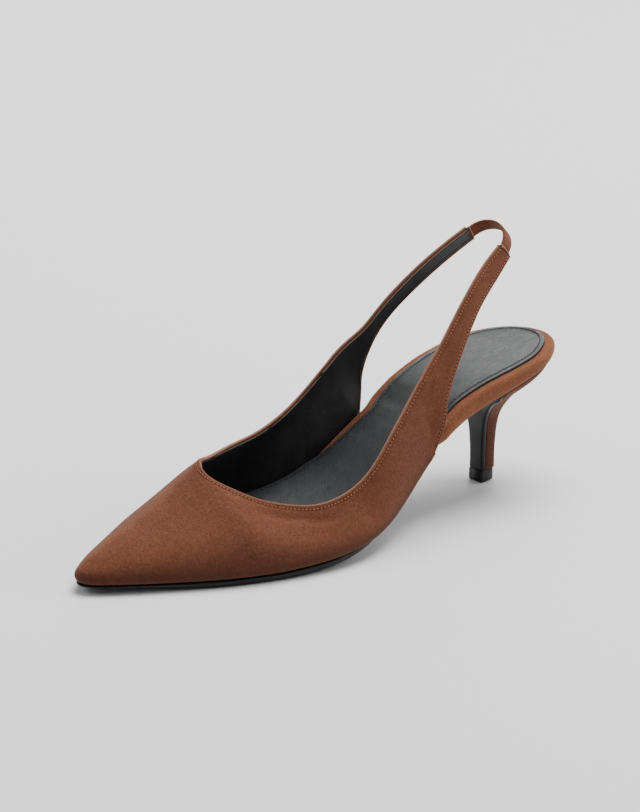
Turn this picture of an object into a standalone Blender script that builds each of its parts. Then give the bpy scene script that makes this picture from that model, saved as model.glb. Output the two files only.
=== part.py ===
"""A left slingback pump with a pointed toe and a kitten heel, standing on its sole.

Metres, +Z up. The toe points to -Y and the wearer's outer side is +X.
The origin is on the floor, under the middle of the whole shoe.
"""

import math

import bmesh
import bpy
import numpy as np
from mathutils import Vector

# Driving sizes of the last.
LENGTH = 0.248
BALL_WIDTH = 0.0786
SEAT_WIDTH = 0.052
HEEL_RISE = 0.052
TOE_SPRING = 0.0008
# How far behind the toe's tip the edges round it are drawn together.
TOE_REACH = 0.016

# Driving sizes of the upper.
THROAT_HEIGHT = 0.0362
# Slope of the vamp at the throat, towards the toe and to the outer side, in degrees.
THROAT_FALL = 31
THROAT_TILT = 4
TOE_HEIGHT = 0.0088
STRAP_RISE = 0.060
UPPER_WALL = 0.0018
LASTING_MARGIN = 0.009
MARGIN_THICKNESS = 0.0008
FEATHER_RADIUS = 0.0024
QUARTER_CORNER = 0.0865

# Driving sizes of the elastic strap behind the heel.
LOOP_WIDTH = 0.006
LOOP_THICKNESS = 0.0013
LOOP_PULL = 0.013
LOOP_SAG = 0.0020

# Driving sizes of the bottom.
SOLE_THICKNESS = 0.0029
WAIST_THICKNESS = 0.002
TIP_THICKNESS = 0.0019
SOLE_EDGE_ROUND = 0.0024
BOARD_FOREPART = 0.0016
BOARD_WAIST = 0.0033
BOARD_HEEL = 0.0056
BOARD_EDGE_ROUND = 0.0024
RAND_EASE = 0.008
TONGUE_TURN = 45
# Share of the breast's height from which the tongue bends over.
TONGUE_BENDS = 0.80
TONGUE_RUN = 0.006
SOCK_THICKNESS = 0.0009
SOCK_INSET = 0.006

# Driving sizes of the heel.
LIFT_HEIGHT = 0.0055
LIFT_INSET = 0.0004
STEM_WIDTH = 0.0084
STEM_FRONT = 0.0395
STEM_BACK = 0.0298
SEAT_FRONT = 0.047
SEAT_INSET = 0.0016
# Powers that make the stem's section flatter at its sides and at its back than an ellipse.
STEM_SIDES = 0.7
STEM_ROUND = 0.85

# Clearance between pieces that touch on the real shoe.
GAP = 0.0003
# The strap's cut end bulges, so the elastic stands off it by more.
LOOP_GAP = 0.0007
# The tread is pressed this much flatter than its curve.
TREAD_PRESS = 0.0001

# Resolution.
WALL_ROWS = 8
STEPS_PER_STATION = 2
HEEL_STEPS = 16
HEEL_ROWS = 15
OUTLINE_STEPS = 40
BREAST_STEPS = 12
SOLE_STEPS = 34
LOOP_STEPS = 25


def table(columns, rows):
    """A table as a dictionary of named columns."""
    return dict(zip(columns.split(), np.array(rows, float).T))


# The last's outline in plan. along is a share of LENGTH from the heel.
# The half width is seat times half of SEAT_WIDTH plus ball times half of BALL_WIDTH.
# swing is the middle line's way to the outer side, a share of BALL_WIDTH.
OUTLINE = table("along seat ball swing", (
    (0.000, 0.000, 0.000, 0.003),
    (0.012, 0.400, 0.000, 0.002),
    (0.040, 0.685, 0.000, 0.000),
    (0.100, 0.950, 0.000, 0.000),
    (0.200, 0.998, 0.000, 0.009),
    (0.302, 0.500, 0.300, 0.018),
    (0.403, 0.150, 0.600, 0.049),
    (0.504, 0.000, 0.864, 0.074),
    (0.605, 0.000, 0.992, 0.050),
    (0.665, 0.000, 1.005, 0.018),
    (0.726, 0.000, 0.958, -0.008),
    (0.806, 0.000, 0.800, -0.028),
    (0.887, 0.000, 0.547, -0.039),
    (0.948, 0.000, 0.330, -0.045),
    (0.984, 0.000, 0.176, -0.047),
    (1.000, 0.000, 0.000, -0.049),
))

# The line on which the outsole's top lies, seen from the side.
# rise is a share of HEEL_RISE and spring a share of TOE_SPRING.
PROFILE = table("along rise spring", (
    (0.000, 0.998, 0.0),
    (0.040, 0.972, 0.0),
    (0.100, 0.928, 0.0),
    (0.200, 0.812, 0.0),
    (0.302, 0.614, 0.0),
    (0.403, 0.330, 0.0),
    (0.450, 0.202, 0.0),
    (0.504, 0.102, 0.0),
    (0.560, 0.054, 0.0),
    (0.630, 0.023, 0.0),
    (0.700, 0.004, 0.0),
    (0.770, 0.000, 0.0),
    (0.840, 0.000, 0.15),
    (0.920, 0.000, 0.55),
    (1.000, 0.000, 1.0),
))

# Thickness of the insole board as shares of its three named thicknesses.
BOARD = table("along heel waist fore", (
    (0.000, 1.0, 0.0, 0.0),
    (0.280, 1.0, 0.0, 0.0),
    (0.360, 0.0, 1.0, 0.0),
    (0.500, 0.0, 1.0, 0.0),
    (0.600, 0.0, 0.0, 1.0),
    (1.000, 0.0, 0.0, 1.0),
))

# How far the sock's edge stands back from the board's, a share of SOCK_INSET.
SOCK = table("along setback", (
    (0.00, 0.80),
    (0.15, 0.87),
    (0.26, 1.00),
    (0.31, 0.85),
    (0.36, 0.65),
    (0.46, 0.12),
    (1.00, 0.10),
))

# Shares of LENGTH between which the sole grows from the waist's thickness to the forepart's,
# and thins again to the tip.
SOLE_THICKENS = (0.45, 0.65)
SOLE_THINS = (0.82, 1.00)

# How far the outsole's edge is tucked in under the last's outline, a share of BALL_WIDTH.
TUCK = table("along tuck", (
    (0.00, 0.020),
    (0.19, 0.024),
    (0.24, 0.080),
    (0.30, 0.105),
    (0.40, 0.085),
    (0.50, 0.048),
    (0.60, 0.016),
    (0.68, 0.010),
    (1.00, 0.010),
))

# The vamp's ribs run from the feather line up to the ridge, which both sides share. The last
# row is the throat. low is the rib's foot on the feather line, a share of LENGTH, and spread
# moves it forward on the outer side and back on the inner side. along, rise and across place
# its head: shares of LENGTH, of the climb from TOE_HEIGHT to THROAT_HEIGHT and of BALL_WIDTH.
# turn is the way the whole rib bulges round the tip, in degrees. The angles are its slopes at
# foot and head. The pulls say how full it is below its head, and the twists how far its head
# is turned forward on the outer side and back on the inner side, in degrees.
RIDGE = table("low spread along rise across turn low_angle high_angle", (
    (1.0000, 0.000, 0.976, 0.00, -0.048, 90, 84, 24),
    (0.9985, 0.000, 0.976, 0.00, -0.048, 62, 84, 18),
    (0.9930, 0.000, 0.976, 0.00, -0.048, 30, 84, 10),
    (0.9800, 0.000, 0.968, 0.05, -0.048, 0, 83, 4),
    (0.9500, 0.002, 0.938, 0.16, -0.052, 0, 82, 2),
    (0.9000, 0.005, 0.888, 0.32, -0.060, 0, 81, 0),
    (0.8400, 0.010, 0.838, 0.49, -0.070, 0, 80, 0),
    (0.7880, 0.018, 0.786, 0.70, -0.090, 0, 80, 0),
    (0.7400, 0.026, 0.7335, 1.00, -0.115, 0, 80, 0),
))
RIDGE_HEADS = table("outer_pull inner_pull outer_twist inner_twist", (
    (0.36, 0.36, 0, 0),
    (0.34, 0.34, 0, 0),
    (0.32, 0.32, 0, 0),
    (0.30, 0.30, 0, 0),
    (0.28, 0.26, 0, 0),
    (0.26, 0.22, 0, 0),
    (0.27, 0.19, 6, 1),
    (0.30, 0.16, 26, 3),
    (0.34, 0.13, 46, 6),
))
# How full every rib is above its foot, and the quarter's ribs are below their heads.
FOOT_PULL = 0.30
QUARTER_PULL = 0.32
# Stations past the throat over which the heads' twist dies away.
TWIST_FADE = 0.9

# From the throat to the strap's end. The low edge is the feather line up to the quarter's
# corner and then the quarter's back edge. along is a share of LENGTH, rise a share of
# STRAP_RISE above the sole line, and across a share of BALL_WIDTH.
OUTER_TOP = table("along rise across angle", (
    (0.7415, 0.553, 0.000, 16),
    (0.7220, 0.488, 0.134, 30),
    (0.6930, 0.423, 0.242, 44),
    (0.6510, 0.370, 0.331, 58),
    (0.6090, 0.345, 0.388, 66),
    (0.5600, 0.370, 0.417, 72),
    (0.5120, 0.447, 0.420, 75),
    (0.4680, 0.565, 0.406, 78),
    (0.4230, 0.643, 0.373, 80),
    (0.3930, 0.683, 0.351, 80),
    (0.3790, 0.702, 0.344, 80),
    (0.3590, 0.725, 0.331, 80),
    (0.3310, 0.742, 0.310, 80),
    (0.2960, 0.790, 0.280, 80),
    (0.2480, 0.868, 0.234, 80),
    (0.2010, 0.938, 0.187, 80),
    (0.1565, 0.993, 0.153, 80),
))
INNER_TOP = table("along rise across angle", (
    (0.7060, 0.592, -0.172, 24),
    (0.6730, 0.571, -0.229, 44),
    (0.6350, 0.547, -0.290, 56),
    (0.5990, 0.530, -0.331, 66),
    (0.5625, 0.522, -0.356, 70),
    (0.5280, 0.533, -0.369, 73),
    (0.4900, 0.562, -0.371, 76),
    (0.4550, 0.600, -0.367, 78),
    (0.4240, 0.645, -0.356, 80),
    (0.4050, 0.672, -0.347, 80),
    (0.3870, 0.692, -0.340, 80),
    (0.3630, 0.697, -0.327, 80),
    (0.3350, 0.705, -0.305, 80),
    (0.3045, 0.772, -0.274, 80),
    (0.2610, 0.863, -0.229, 80),
    (0.2180, 0.944, -0.187, 80),
    (0.1520, 1.032, -0.145, 80),
))
# Share of the way from throat to corner at which each column of the quarter stands.
FEATHER_STATIONS = (0.716, 0.693, 0.666, 0.635, 0.598, 0.556, 0.509, 0.460, 0.398)
OUTER_BACK = table("along rise across", (
    (0.3318, 0.182, 0.369),
    (0.3266, 0.315, 0.366),
    (0.3085, 0.432, 0.346),
    (0.2702, 0.572, 0.308),
    (0.2218, 0.690, 0.248),
    (0.1734, 0.778, 0.201),
    (0.1302, 0.860, 0.158),
))
INNER_BACK = table("along rise across", (
    (0.3335, 0.195, -0.331),
    (0.3278, 0.332, -0.333),
    (0.3129, 0.463, -0.321),
    (0.2839, 0.590, -0.293),
    (0.2379, 0.700, -0.247),
    (0.1948, 0.805, -0.191),
    (0.1294, 0.900, -0.151),
))

# The heel widens from its stem to its seat. height and flare are shares.
FLARE = table("height flare", (
    (0.00, 0.000),
    (0.15, 0.000),
    (0.32, 0.018),
    (0.48, 0.060),
    (0.59, 0.145),
    (0.68, 0.280),
    (0.77, 0.465),
    (0.86, 0.720),
    (0.94, 0.920),
    (1.00, 1.000),
))

# Edges of the flat pieces from top to bottom, as (inset, share of the way up). The insets are
# shares of the piece's own edge rounding.
BOARD_EDGE = ((1.0, 1.0), (0.33, 0.93), (0.0, 0.66), (0.12, 0.30), (0.66, 0.0))
SOCK_EDGE = ((0.67, 1.0), (0.0, 0.6), (0.0, 0.0))
SOLE_EDGE = ((0.0, 1.0), (0.0, 0.4), (1.0, 0.0))


def spline(knots, values):
    """A natural cubic spline through the points, as a function."""
    x = np.asarray(knots, float)
    y = np.asarray(values, float)
    h = np.diff(x)
    n = len(x)
    system = np.eye(n)
    right = np.zeros(n)
    for i in range(1, n - 1):
        system[i, i - 1:i + 2] = h[i - 1], 2 * (h[i - 1] + h[i]), h[i]
        right[i] = 6 * ((y[i + 1] - y[i]) / h[i] - (y[i] - y[i - 1]) / h[i - 1])
    bend = np.linalg.solve(system, right)

    def at(t):
        i = int(np.clip(np.searchsorted(x, t) - 1, 0, n - 2))
        a = (x[i + 1] - t) / h[i]
        b = (t - x[i]) / h[i]
        cubic = ((a ** 3 - a) * bend[i] + (b ** 3 - b) * bend[i + 1]) * h[i] ** 2 / 6
        return a * y[i] + b * y[i + 1] + cubic

    return at


def fan(along):
    """The angle round the outline at a share of its length: even steps come close at both ends."""
    return math.acos(1 - 2 * min(max(along, 0.0), 1.0))


def share_of(angle):
    return (1 - math.cos(angle)) / 2


FAN = [fan(along) for along in OUTLINE["along"]]
# The bare edge of the insole ends this far from the heel, a little behind the quarters.
RAND_END = QUARTER_CORNER - 0.001
seat_share = spline(FAN, OUTLINE["seat"])
ball_share = spline(FAN, OUTLINE["ball"])
swing_share = spline(FAN, OUTLINE["swing"])
rise_share = spline(PROFILE["along"], PROFILE["rise"])
spring_share = spline(PROFILE["along"], PROFILE["spring"])


def edge_point(side, angle):
    """A point of the last's outline in plan: (across, along), in metres."""
    half = seat_share(angle) * SEAT_WIDTH / 2 + ball_share(angle) * BALL_WIDTH / 2
    return np.array((swing_share(angle) * BALL_WIDTH + side * half, share_of(angle) * LENGTH))


def edge_inset(side, angle, inset):
    """The outline moved inwards along its own normal."""
    step = 1e-3
    low, high = max(angle - step, 0.0), min(angle + step, math.pi)
    run = edge_point(side, high) - edge_point(side, low)
    run /= np.linalg.norm(run)
    inward = np.array((-side * run[1], side * run[0]))
    if angle < step or angle > math.pi - step:
        inward = np.array((0.0, 1.0 if angle < 1 else -1.0))
    return edge_point(side, angle) + inset * inward


def inward(point, distance):
    """A point in plan moved towards the middle line by less than all the way, so no edge folds over."""
    goal_along = min(max(point[1], SEAT_WIDTH / 2), LENGTH - TOE_REACH)
    goal = np.array((swing_share(fan(goal_along / LENGTH)) * BALL_WIDTH, goal_along))
    way = goal - point
    return point + way * (1 - math.exp(-distance / np.linalg.norm(way)))


def sole_line(along):
    """Height of the outsole's top at a distance from the heel, in metres."""
    share = along / LENGTH
    rise = rise_share(share) * HEEL_RISE + spring_share(share) * TOE_SPRING
    return SOLE_THICKNESS - TREAD_PRESS + rise


def ease(value, low, high):
    t = min(max((value - low) / (high - low), 0.0), 1.0)
    return t * t * (3 - 2 * t)


def quarter_share(along):
    """0 under the bare heel part of the insole, 1 where the upper stands round it."""
    return ease(along, RAND_END - RAND_EASE, RAND_END)


def board_bottom(along):
    return sole_line(along) + GAP + quarter_share(along) * (MARGIN_THICKNESS + GAP)


def board_top(along):
    share = along / LENGTH
    sizes = BOARD_HEEL, BOARD_WAIST, BOARD_FOREPART
    thickness = sum(
        np.interp(share, BOARD["along"], BOARD[name]) * size
        for name, size in zip(("heel", "waist", "fore"), sizes)
    )
    return board_bottom(along) + thickness


def board_inset(along):
    return quarter_share(along) * (UPPER_WALL + GAP)


def place(across, along, height):
    return (across, -along, height)


def material(name, colour, roughness, metallic=0.0):
    made = bpy.data.materials.new(name)
    made.use_nodes = True
    shader = made.node_tree.nodes["Principled BSDF"]
    shader.inputs["Base Color"].default_value = (*colour, 1)
    shader.inputs["Roughness"].default_value = roughness
    shader.inputs["Metallic"].default_value = metallic
    made.diffuse_color = (*colour, 1)
    return made


def solid(name, mesh, surface):
    """Makes the sub-part's object from a closed bmesh and frees the bmesh."""
    bmesh.ops.remove_doubles(mesh, verts=mesh.verts, dist=1e-6)
    bmesh.ops.recalc_face_normals(mesh, faces=mesh.faces)
    data = bpy.data.meshes.new(name)
    mesh.to_mesh(data)
    mesh.free()
    data.materials.append(surface)
    data.shade_smooth()
    data.set_sharp_from_angle(angle=math.radians(40))
    made = bpy.data.objects.new(name, data)
    bpy.context.scene.collection.objects.link(made)
    return made


def skin(mesh, loops, closed_ends):
    """Joins closed loops of as many points each by quads, with flat caps where asked."""
    rings = [[mesh.verts.new(point) for point in loop] for loop in loops]
    count = len(rings[0])
    for first, second in zip(rings, rings[1:]):
        for i in range(count):
            j = (i + 1) % count
            mesh.faces.new((first[i], first[j], second[j], second[i]))
    for ring, wanted in zip((rings[0], rings[-1]), closed_ends):
        if wanted:
            mesh.faces.new(ring)
    return rings


def plate_loop(angle, edge, rounding, inset, setback, low, high):
    """One closed section of a flat piece, through the outline's two points at an angle."""
    sides = []
    at = share_of(angle) * LENGTH
    for side in (1, -1):
        base = edge_inset(side, angle, inset(at))
        points = []
        for depth, up in edge:
            across, along = inward(base, setback(at) + depth * rounding)
            height = low(along) + (high(along) - low(along)) * up
            points.append(np.array(place(across, along, height)))
        sides.append(points)
    outer, inner = sides
    top = (outer[0] + inner[0]) / 2
    bottom = (outer[-1] + inner[-1]) / 2
    return [*outer, bottom, *inner[::-1], top]


def plate(name, surface, edge, rounding, setback, low, high):
    """A flat piece over the whole outline, with close sections where its edge steps in."""
    step = [fan((RAND_END - RAND_EASE * share) / LENGTH) for share in (1, 0.75, 0.5, 0.25, 0)]
    angles = sorted([*np.linspace(0, math.pi, OUTLINE_STEPS + 1), *step])
    mesh = bmesh.new()
    sizes = edge, rounding, board_inset, setback, low, high
    skin(mesh, [plate_loop(angle, *sizes) for angle in angles], (False, False))
    return solid(name, mesh, surface)


def no_setback(along):
    return 0.0


def make_insole(surface):
    return plate("insole", surface, BOARD_EDGE, BOARD_EDGE_ROUND, no_setback, board_bottom, board_top)


def make_sock(surface):
    def low(along):
        return board_top(along) + GAP

    def high(along):
        return low(along) + SOCK_THICKNESS

    def setback(along):
        return np.interp(along / LENGTH, SOCK["along"], SOCK["setback"]) * SOCK_INSET

    return plate("sock", surface, SOCK_EDGE, SOCK_THICKNESS, setback, low, high)


def head_slope(side, tilt, twist):
    """Slope of a rib's head, in degrees, where the vamp tilts sideways and falls to the toe."""
    sideways = math.tan(math.radians(tilt)) * math.cos(math.radians(twist))
    forward = math.tan(math.radians(THROAT_FALL)) * math.sin(math.radians(twist))
    return math.degrees(math.atan(sideways + side * forward))


def column(low, high, turn, side, twist, low_angle, high_angle, pull):
    """Points of one rib of the upper, from its low edge to its high edge, on a cubic curve."""
    low, high = np.array(low), np.array(high)
    turn, twist = math.radians(turn), math.radians(twist)
    out = np.array((side * math.cos(turn), -math.sin(turn), 0))
    head_out = np.array((side * math.cos(turn + twist), -math.sin(turn + side * twist), 0))
    chord = low - high
    reach = np.linalg.norm(chord)
    down = chord - out * chord.dot(out)
    down /= np.linalg.norm(down)
    a, b = math.radians(low_angle), math.radians(high_angle)
    first = low + (out * math.cos(a) - down * math.sin(a)) * FOOT_PULL * reach
    second = high + (head_out * math.cos(b) + down * math.sin(b)) * pull * reach
    points = []
    for i in range(WALL_ROWS + 1):
        t = i / WALL_ROWS
        s = 1 - t
        points.append(s ** 3 * low + 3 * s * s * t * first + 3 * s * t * t * second + t ** 3 * high)
    return points


def upper_splines():
    """Curves along the upper, by station: 0 to 8 on the ridge, 8 to 24 beside the opening."""
    rows = {**RIDGE, **RIDGE_HEADS}
    ridge = {key: spline(range(9), rows[key]) for key in rows}
    throat = {key: RIDGE[key][-1] for key in ("along", "across")}
    throat["rise"] = THROAT_HEIGHT / STRAP_RISE
    stations = range(-17, 18)
    top = {}
    for key in ("along", "rise", "across"):
        values = list(INNER_TOP[key][::-1]) + [throat[key]] + list(OUTER_TOP[key])
        top[key] = spline(stations, values)
    angle = {
        1: spline(range(18), [THROAT_TILT, *OUTER_TOP["angle"]]),
        -1: spline(range(18), [-THROAT_TILT, *INNER_TOP["angle"]]),
    }
    return ridge, top, angle


def upper_columns(side):
    """The upper's ribs on one side, each a list of points, and how many stand on the feather line."""
    ridge, top, angle = upper_splines()
    feather = spline(range(11), [RIDGE["low"][-1], *FEATHER_STATIONS, QUARTER_CORNER / LENGTH])
    name = "outer" if side > 0 else "inner"
    ribs, margins = [], []
    for i in range(8 * STEPS_PER_STATION + 1):
        k = i / STEPS_PER_STATION
        foot = fan(ridge["low"](k) + side * ridge["spread"](k))
        along = ridge["along"](k) * LENGTH
        height = sole_line(along) + TOE_HEIGHT + (THROAT_HEIGHT - TOE_HEIGHT) * ridge["rise"](k)
        high = place(ridge["across"](k) * BALL_WIDTH, along, height)
        turn = max(ridge["turn"](k), 0.0) if k < 3 else 0.0
        twist = ridge[name + "_twist"](k) if k > 4 else 0.0
        slope = ridge["high_angle"](k) + head_slope(side, side * THROAT_TILT * ease(k, 3, 8), twist)
        shape = turn, side, twist, ridge["low_angle"](k), slope, ridge[name + "_pull"](k)
        ribs.append(column(feather_point(side, foot), high, *shape))
        margins.append(margin_points(side, foot))
    back_curve = {key: spline(range(8), rows) for key, rows in back_rows(side).items()}
    for i in range(1, 17 * STEPS_PER_STATION + 1):
        k = i / STEPS_PER_STATION
        along = top["along"](side * k) * LENGTH
        height = sole_line(along) + top["rise"](side * k) * STRAP_RISE
        high = place(top["across"](side * k) * BALL_WIDTH, along, height)
        if k <= 10:
            foot = fan(feather(k) + side * RIDGE["spread"][-1] * (1 - ease(k, 0, 7)))
            low = feather_point(side, foot)
            margins.append(margin_points(side, foot))
        else:
            back_along = back_curve["along"](k - 10) * LENGTH
            back_height = sole_line(back_along) + back_curve["rise"](k - 10) * STRAP_RISE
            low = place(back_curve["across"](k - 10) * BALL_WIDTH, back_along, back_height)
        low_angle = 80 + 10 * ease(k, 0, 6) - 8 * ease(k, 10, 14)
        least = RIDGE_HEADS[name + "_pull"][-1]
        pull = least + (QUARTER_PULL - least) * ease(k, 0, 6)
        twist = RIDGE_HEADS[name + "_twist"][-1] * math.exp(-k / TWIST_FADE)
        slope = head_slope(side, angle[side](k), twist)
        ribs.append(column(low, high, 0.0, side, twist, low_angle, slope, pull))
    return ribs, margins


def back_rows(side):
    """The back edge of a quarter and its strap, from the corner on the feather line."""
    back = OUTER_BACK if side > 0 else INNER_BACK
    corner = QUARTER_CORNER / LENGTH
    across, _, height = feather_point(side, fan(corner))
    start = {
        "along": corner,
        "rise": (height - sole_line(QUARTER_CORNER)) / STRAP_RISE,
        "across": across / BALL_WIDTH,
    }
    return {key: [start[key], *back[key]] for key in start}


def feather_point(side, angle):
    across, along = edge_point(side, angle)
    return place(across, along, sole_line(along) + GAP + FEATHER_RADIUS)


def margin_points(side, angle):
    """The margin under the insole, from its inner edge to the start of the wall."""
    points = []
    for inset, up in ((LASTING_MARGIN, 0.0), (FEATHER_RADIUS, 0.0), (0.3 * FEATHER_RADIUS, 0.3)):
        across, along = inward(edge_point(side, angle), inset)
        points.append(place(across, along, sole_line(along) + GAP + up * FEATHER_RADIUS))
    return points


def make_upper(surface):
    """The upper as one sheet, which a Solidify modifier gives its wall, thinner at the margin."""
    mesh = bmesh.new()
    layer = mesh.verts.layers.deform.verify()
    for side in (1, -1):
        ribs, margins = upper_columns(side)
        grid = [[mesh.verts.new(p) for p in rib] for rib in ribs]
        hems = [[mesh.verts.new(p) for p in hem] + [grid[i][0]] for i, hem in enumerate(margins)]
        for row in grid + hems:
            for vert in row:
                vert[layer][0] = 1.0
        for hem in hems:
            for vert, share in zip(hem, (0.0, 0.0, 0.5)):
                vert[layer][0] = share
        for rows in (hems, grid):
            for left, right in zip(rows, rows[1:]):
                for j in range(len(left) - 1):
                    mesh.faces.new((left[j], right[j], right[j + 1], left[j + 1])[::side])
    bmesh.ops.remove_doubles(mesh, verts=mesh.verts, dist=1e-6)
    bmesh.ops.recalc_face_normals(mesh, faces=mesh.faces)
    data = bpy.data.meshes.new("upper")
    mesh.to_mesh(data)
    mesh.free()
    data.materials.append(surface)
    data.shade_smooth()
    made = bpy.data.objects.new("upper", data)
    made.vertex_groups.new(name="wall")
    bpy.context.scene.collection.objects.link(made)
    wall = made.modifiers.new("wall", "SOLIDIFY")
    wall.thickness = UPPER_WALL
    wall.offset = -1
    wall.vertex_group = "wall"
    wall.thickness_vertex_group = MARGIN_THICKNESS / UPPER_WALL
    return made


def heel_plan(count):
    """Two outlines of as many points: the stem's and the seat's, from the outer breast corner round the back."""
    stem, seat = [], []
    front = fan(SEAT_FRONT / LENGTH)
    for i in range(count + 1):
        t = i / count
        side = 1 if t <= 0.5 else -1
        turn = math.pi * t
        depth = STEM_FRONT - WAIST_THICKNESS - GAP - STEM_BACK
        across = STEM_WIDTH / 2 * math.copysign(abs(math.cos(turn)) ** STEM_SIDES, math.cos(turn))
        stem.append(np.array((across, STEM_BACK + depth * (1 - math.sin(turn) ** STEM_ROUND))))
        angle = front * abs(1 - 2 * t)
        seat.append(edge_inset(side, angle, SEAT_INSET))
    return stem, seat


def heel_height(share, along):
    low = LIFT_HEIGHT + GAP
    return low + (sole_line(along) - low) * share


def heel_ring(share):
    """The heel's outline in plan at a share of its height."""
    flare = spline(FLARE["height"], FLARE["flare"])(share)
    return [low + (high - low) * flare for low, high in zip(*heel_plan(HEEL_STEPS))]


def make_heel(surface):
    mesh = bmesh.new()
    loops = []
    for share in np.linspace(0, 1, HEEL_ROWS):
        loops.append([place(*point, heel_height(share, point[1])) for point in heel_ring(share)])
    skin(mesh, loops, (True, True))
    return solid("heel", mesh, surface)


def make_lift(surface):
    """The top lift: the stem's outline, stretched forward to the tongue's front."""
    stem, _ = heel_plan(HEEL_STEPS)
    stretch = (STEM_FRONT - STEM_BACK) / (STEM_FRONT - WAIST_THICKNESS - GAP - STEM_BACK)
    middle = np.array((0.0, (STEM_FRONT + STEM_BACK) / 2))
    outline = []
    for across, along in stem:
        point = np.array((across, STEM_BACK + (along - STEM_BACK) * stretch))
        outline.append(point - (point - middle) / np.linalg.norm(point - middle) * LIFT_INSET)
    mesh = bmesh.new()
    loops = [[place(*point, height) for point in outline] for height in (0.0, LIFT_HEIGHT)]
    skin(mesh, loops, (True, True))
    return solid("top_lift", mesh, surface)


def tongue_loop(share):
    """A section of the sole's tongue on the heel's breast, at a share of the breast's height."""
    ring = heel_ring(share)
    outer_corner, inner_corner = ring[0], ring[-1]
    along = outer_corner[1]
    lean = math.radians(TONGUE_TURN) * ease(share, TONGUE_BENDS, 1.0)
    normal = np.array((math.cos(lean), -math.sin(lean)))
    back = np.array((along, heel_height(share, along))) + normal * GAP
    front = back + normal * WAIST_THICKNESS
    middle = (outer_corner[0] + inner_corner[0]) / 2
    half = (outer_corner[0] - inner_corner[0]) / 2
    rounding = SOLE_EDGE_ROUND / 2
    corners = [(half - inset * rounding, front + (back - front) * up) for inset, up in SOLE_EDGE]
    loop = [place(middle + reach, *point) for reach, point in corners]
    loop.append(place(middle, *front))
    loop += [place(middle - reach, *point) for reach, point in corners[::-1]]
    loop.append(place(middle, *back))
    return loop


def sole_bottom(along):
    share = along / LENGTH
    thickness = WAIST_THICKNESS + (SOLE_THICKNESS - WAIST_THICKNESS) * ease(share, *SOLE_THICKENS)
    thickness -= (SOLE_THICKNESS - TIP_THICKNESS) * ease(share, *SOLE_THINS)
    return max(sole_line(along) - thickness, 0.0)


def make_outsole(surface):
    """The sole from the toe to the heel, and its tongue down the heel's breast to the lift."""
    tuck = spline(TUCK["along"], TUCK["tuck"])

    def inset(along):
        return tuck(along / LENGTH) * BALL_WIDTH

    loops = [tongue_loop(share) for share in np.linspace(0, 1, BREAST_STEPS)]
    start = fan((heel_ring(1.0)[0][1] + TONGUE_RUN) / LENGTH)
    for angle in np.linspace(start, math.pi, SOLE_STEPS):
        sizes = SOLE_EDGE, SOLE_EDGE_ROUND, inset, no_setback, sole_bottom, sole_line
        loops.append(plate_loop(angle, *sizes))
    mesh = bmesh.new()
    skin(mesh, loops, (True, False))
    return solid("outsole", mesh, surface)


def strap_end(side):
    """The middle of a strap's cut end, its width direction and the direction in which it runs."""
    _, top, _ = upper_splines()
    back = {key: spline(range(8), rows) for key, rows in back_rows(side).items()}
    middles = []
    for step in (0.0, 0.5):
        points = []
        for curve, station in ((top, side * (17 - step)), (back, 7 - step)):
            along = curve["along"](station) * LENGTH
            height = sole_line(along) + curve["rise"](station) * STRAP_RISE
            points.append(np.array(place(curve["across"](station) * BALL_WIDTH, along, height)))
        middles.append((points[0] + points[1]) / 2)
        if step == 0:
            wide = (points[0] - points[1]) / np.linalg.norm(points[0] - points[1])
    run = middles[0] - middles[1]
    run -= wide * run.dot(wide)
    run /= np.linalg.norm(run)
    inward = np.cross(run, wide) * side
    inward *= -np.sign(inward[0]) * side
    return middles[0] + inward * UPPER_WALL / 2, wide, run


def make_back_strap(surface):
    """The elastic strap from one strap end round the back of the heel to the other."""
    (start, wide_a, run_a), (stop, wide_b, run_b) = strap_end(1), strap_end(-1)
    start, stop = start + run_a * LOOP_GAP, stop + run_b * LOOP_GAP
    sag = np.array((0, 0, LOOP_SAG))
    first, second = start + run_a * LOOP_PULL - sag, stop + run_b * LOOP_PULL - sag
    mesh = bmesh.new()
    loops = []
    for t in np.linspace(0, 1, LOOP_STEPS):
        s = 1 - t
        point = s ** 3 * start + 3 * s * s * t * first + 3 * s * t * t * second + t ** 3 * stop
        run = s * s * (first - start) + 2 * s * t * (second - first) + t * t * (stop - second)
        run /= np.linalg.norm(run)
        wide = wide_a * s + wide_b * t
        wide -= run * wide.dot(run)
        wide /= np.linalg.norm(wide)
        thick = np.cross(run, wide)
        corners = ((1, 1), (1, -1), (-1, -1), (-1, 1))
        loops.append([point + wide * LOOP_WIDTH / 2 * a + thick * LOOP_THICKNESS / 2 * b for a, b in corners])
    skin(mesh, loops, (True, True))
    return solid("back_strap", mesh, surface)


def clear_scene():
    for old in list(bpy.data.objects):
        bpy.data.objects.remove(old, do_unlink=True)


def centre_on_floor(pieces):
    """Moves every piece so that the origin lies on the floor under the middle of the shoe."""
    graph = bpy.context.evaluated_depsgraph_get()
    points = []
    for piece in pieces:
        evaluated = piece.evaluated_get(graph)
        points += [tuple(vert.co) for vert in evaluated.data.vertices]
    low, high = np.min(points, axis=0), np.max(points, axis=0)
    way = Vector((-(low[0] + high[0]) / 2, -(low[1] + high[1]) / 2, 0))
    for piece in pieces:
        piece.location = way


def main():
    clear_scene()
    suede = material("suede", (0.205, 0.075, 0.040), 0.95)
    lining = material("black_lining", (0.02, 0.021, 0.023), 0.5)
    sole_black = material("sole_black", (0.012, 0.012, 0.013), 0.45)
    centre_on_floor([
        make_upper(suede),
        make_insole(suede),
        make_sock(lining),
        make_heel(suede),
        make_lift(sole_black),
        make_outsole(sole_black),
        make_back_strap(suede),
    ])


main()
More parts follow.
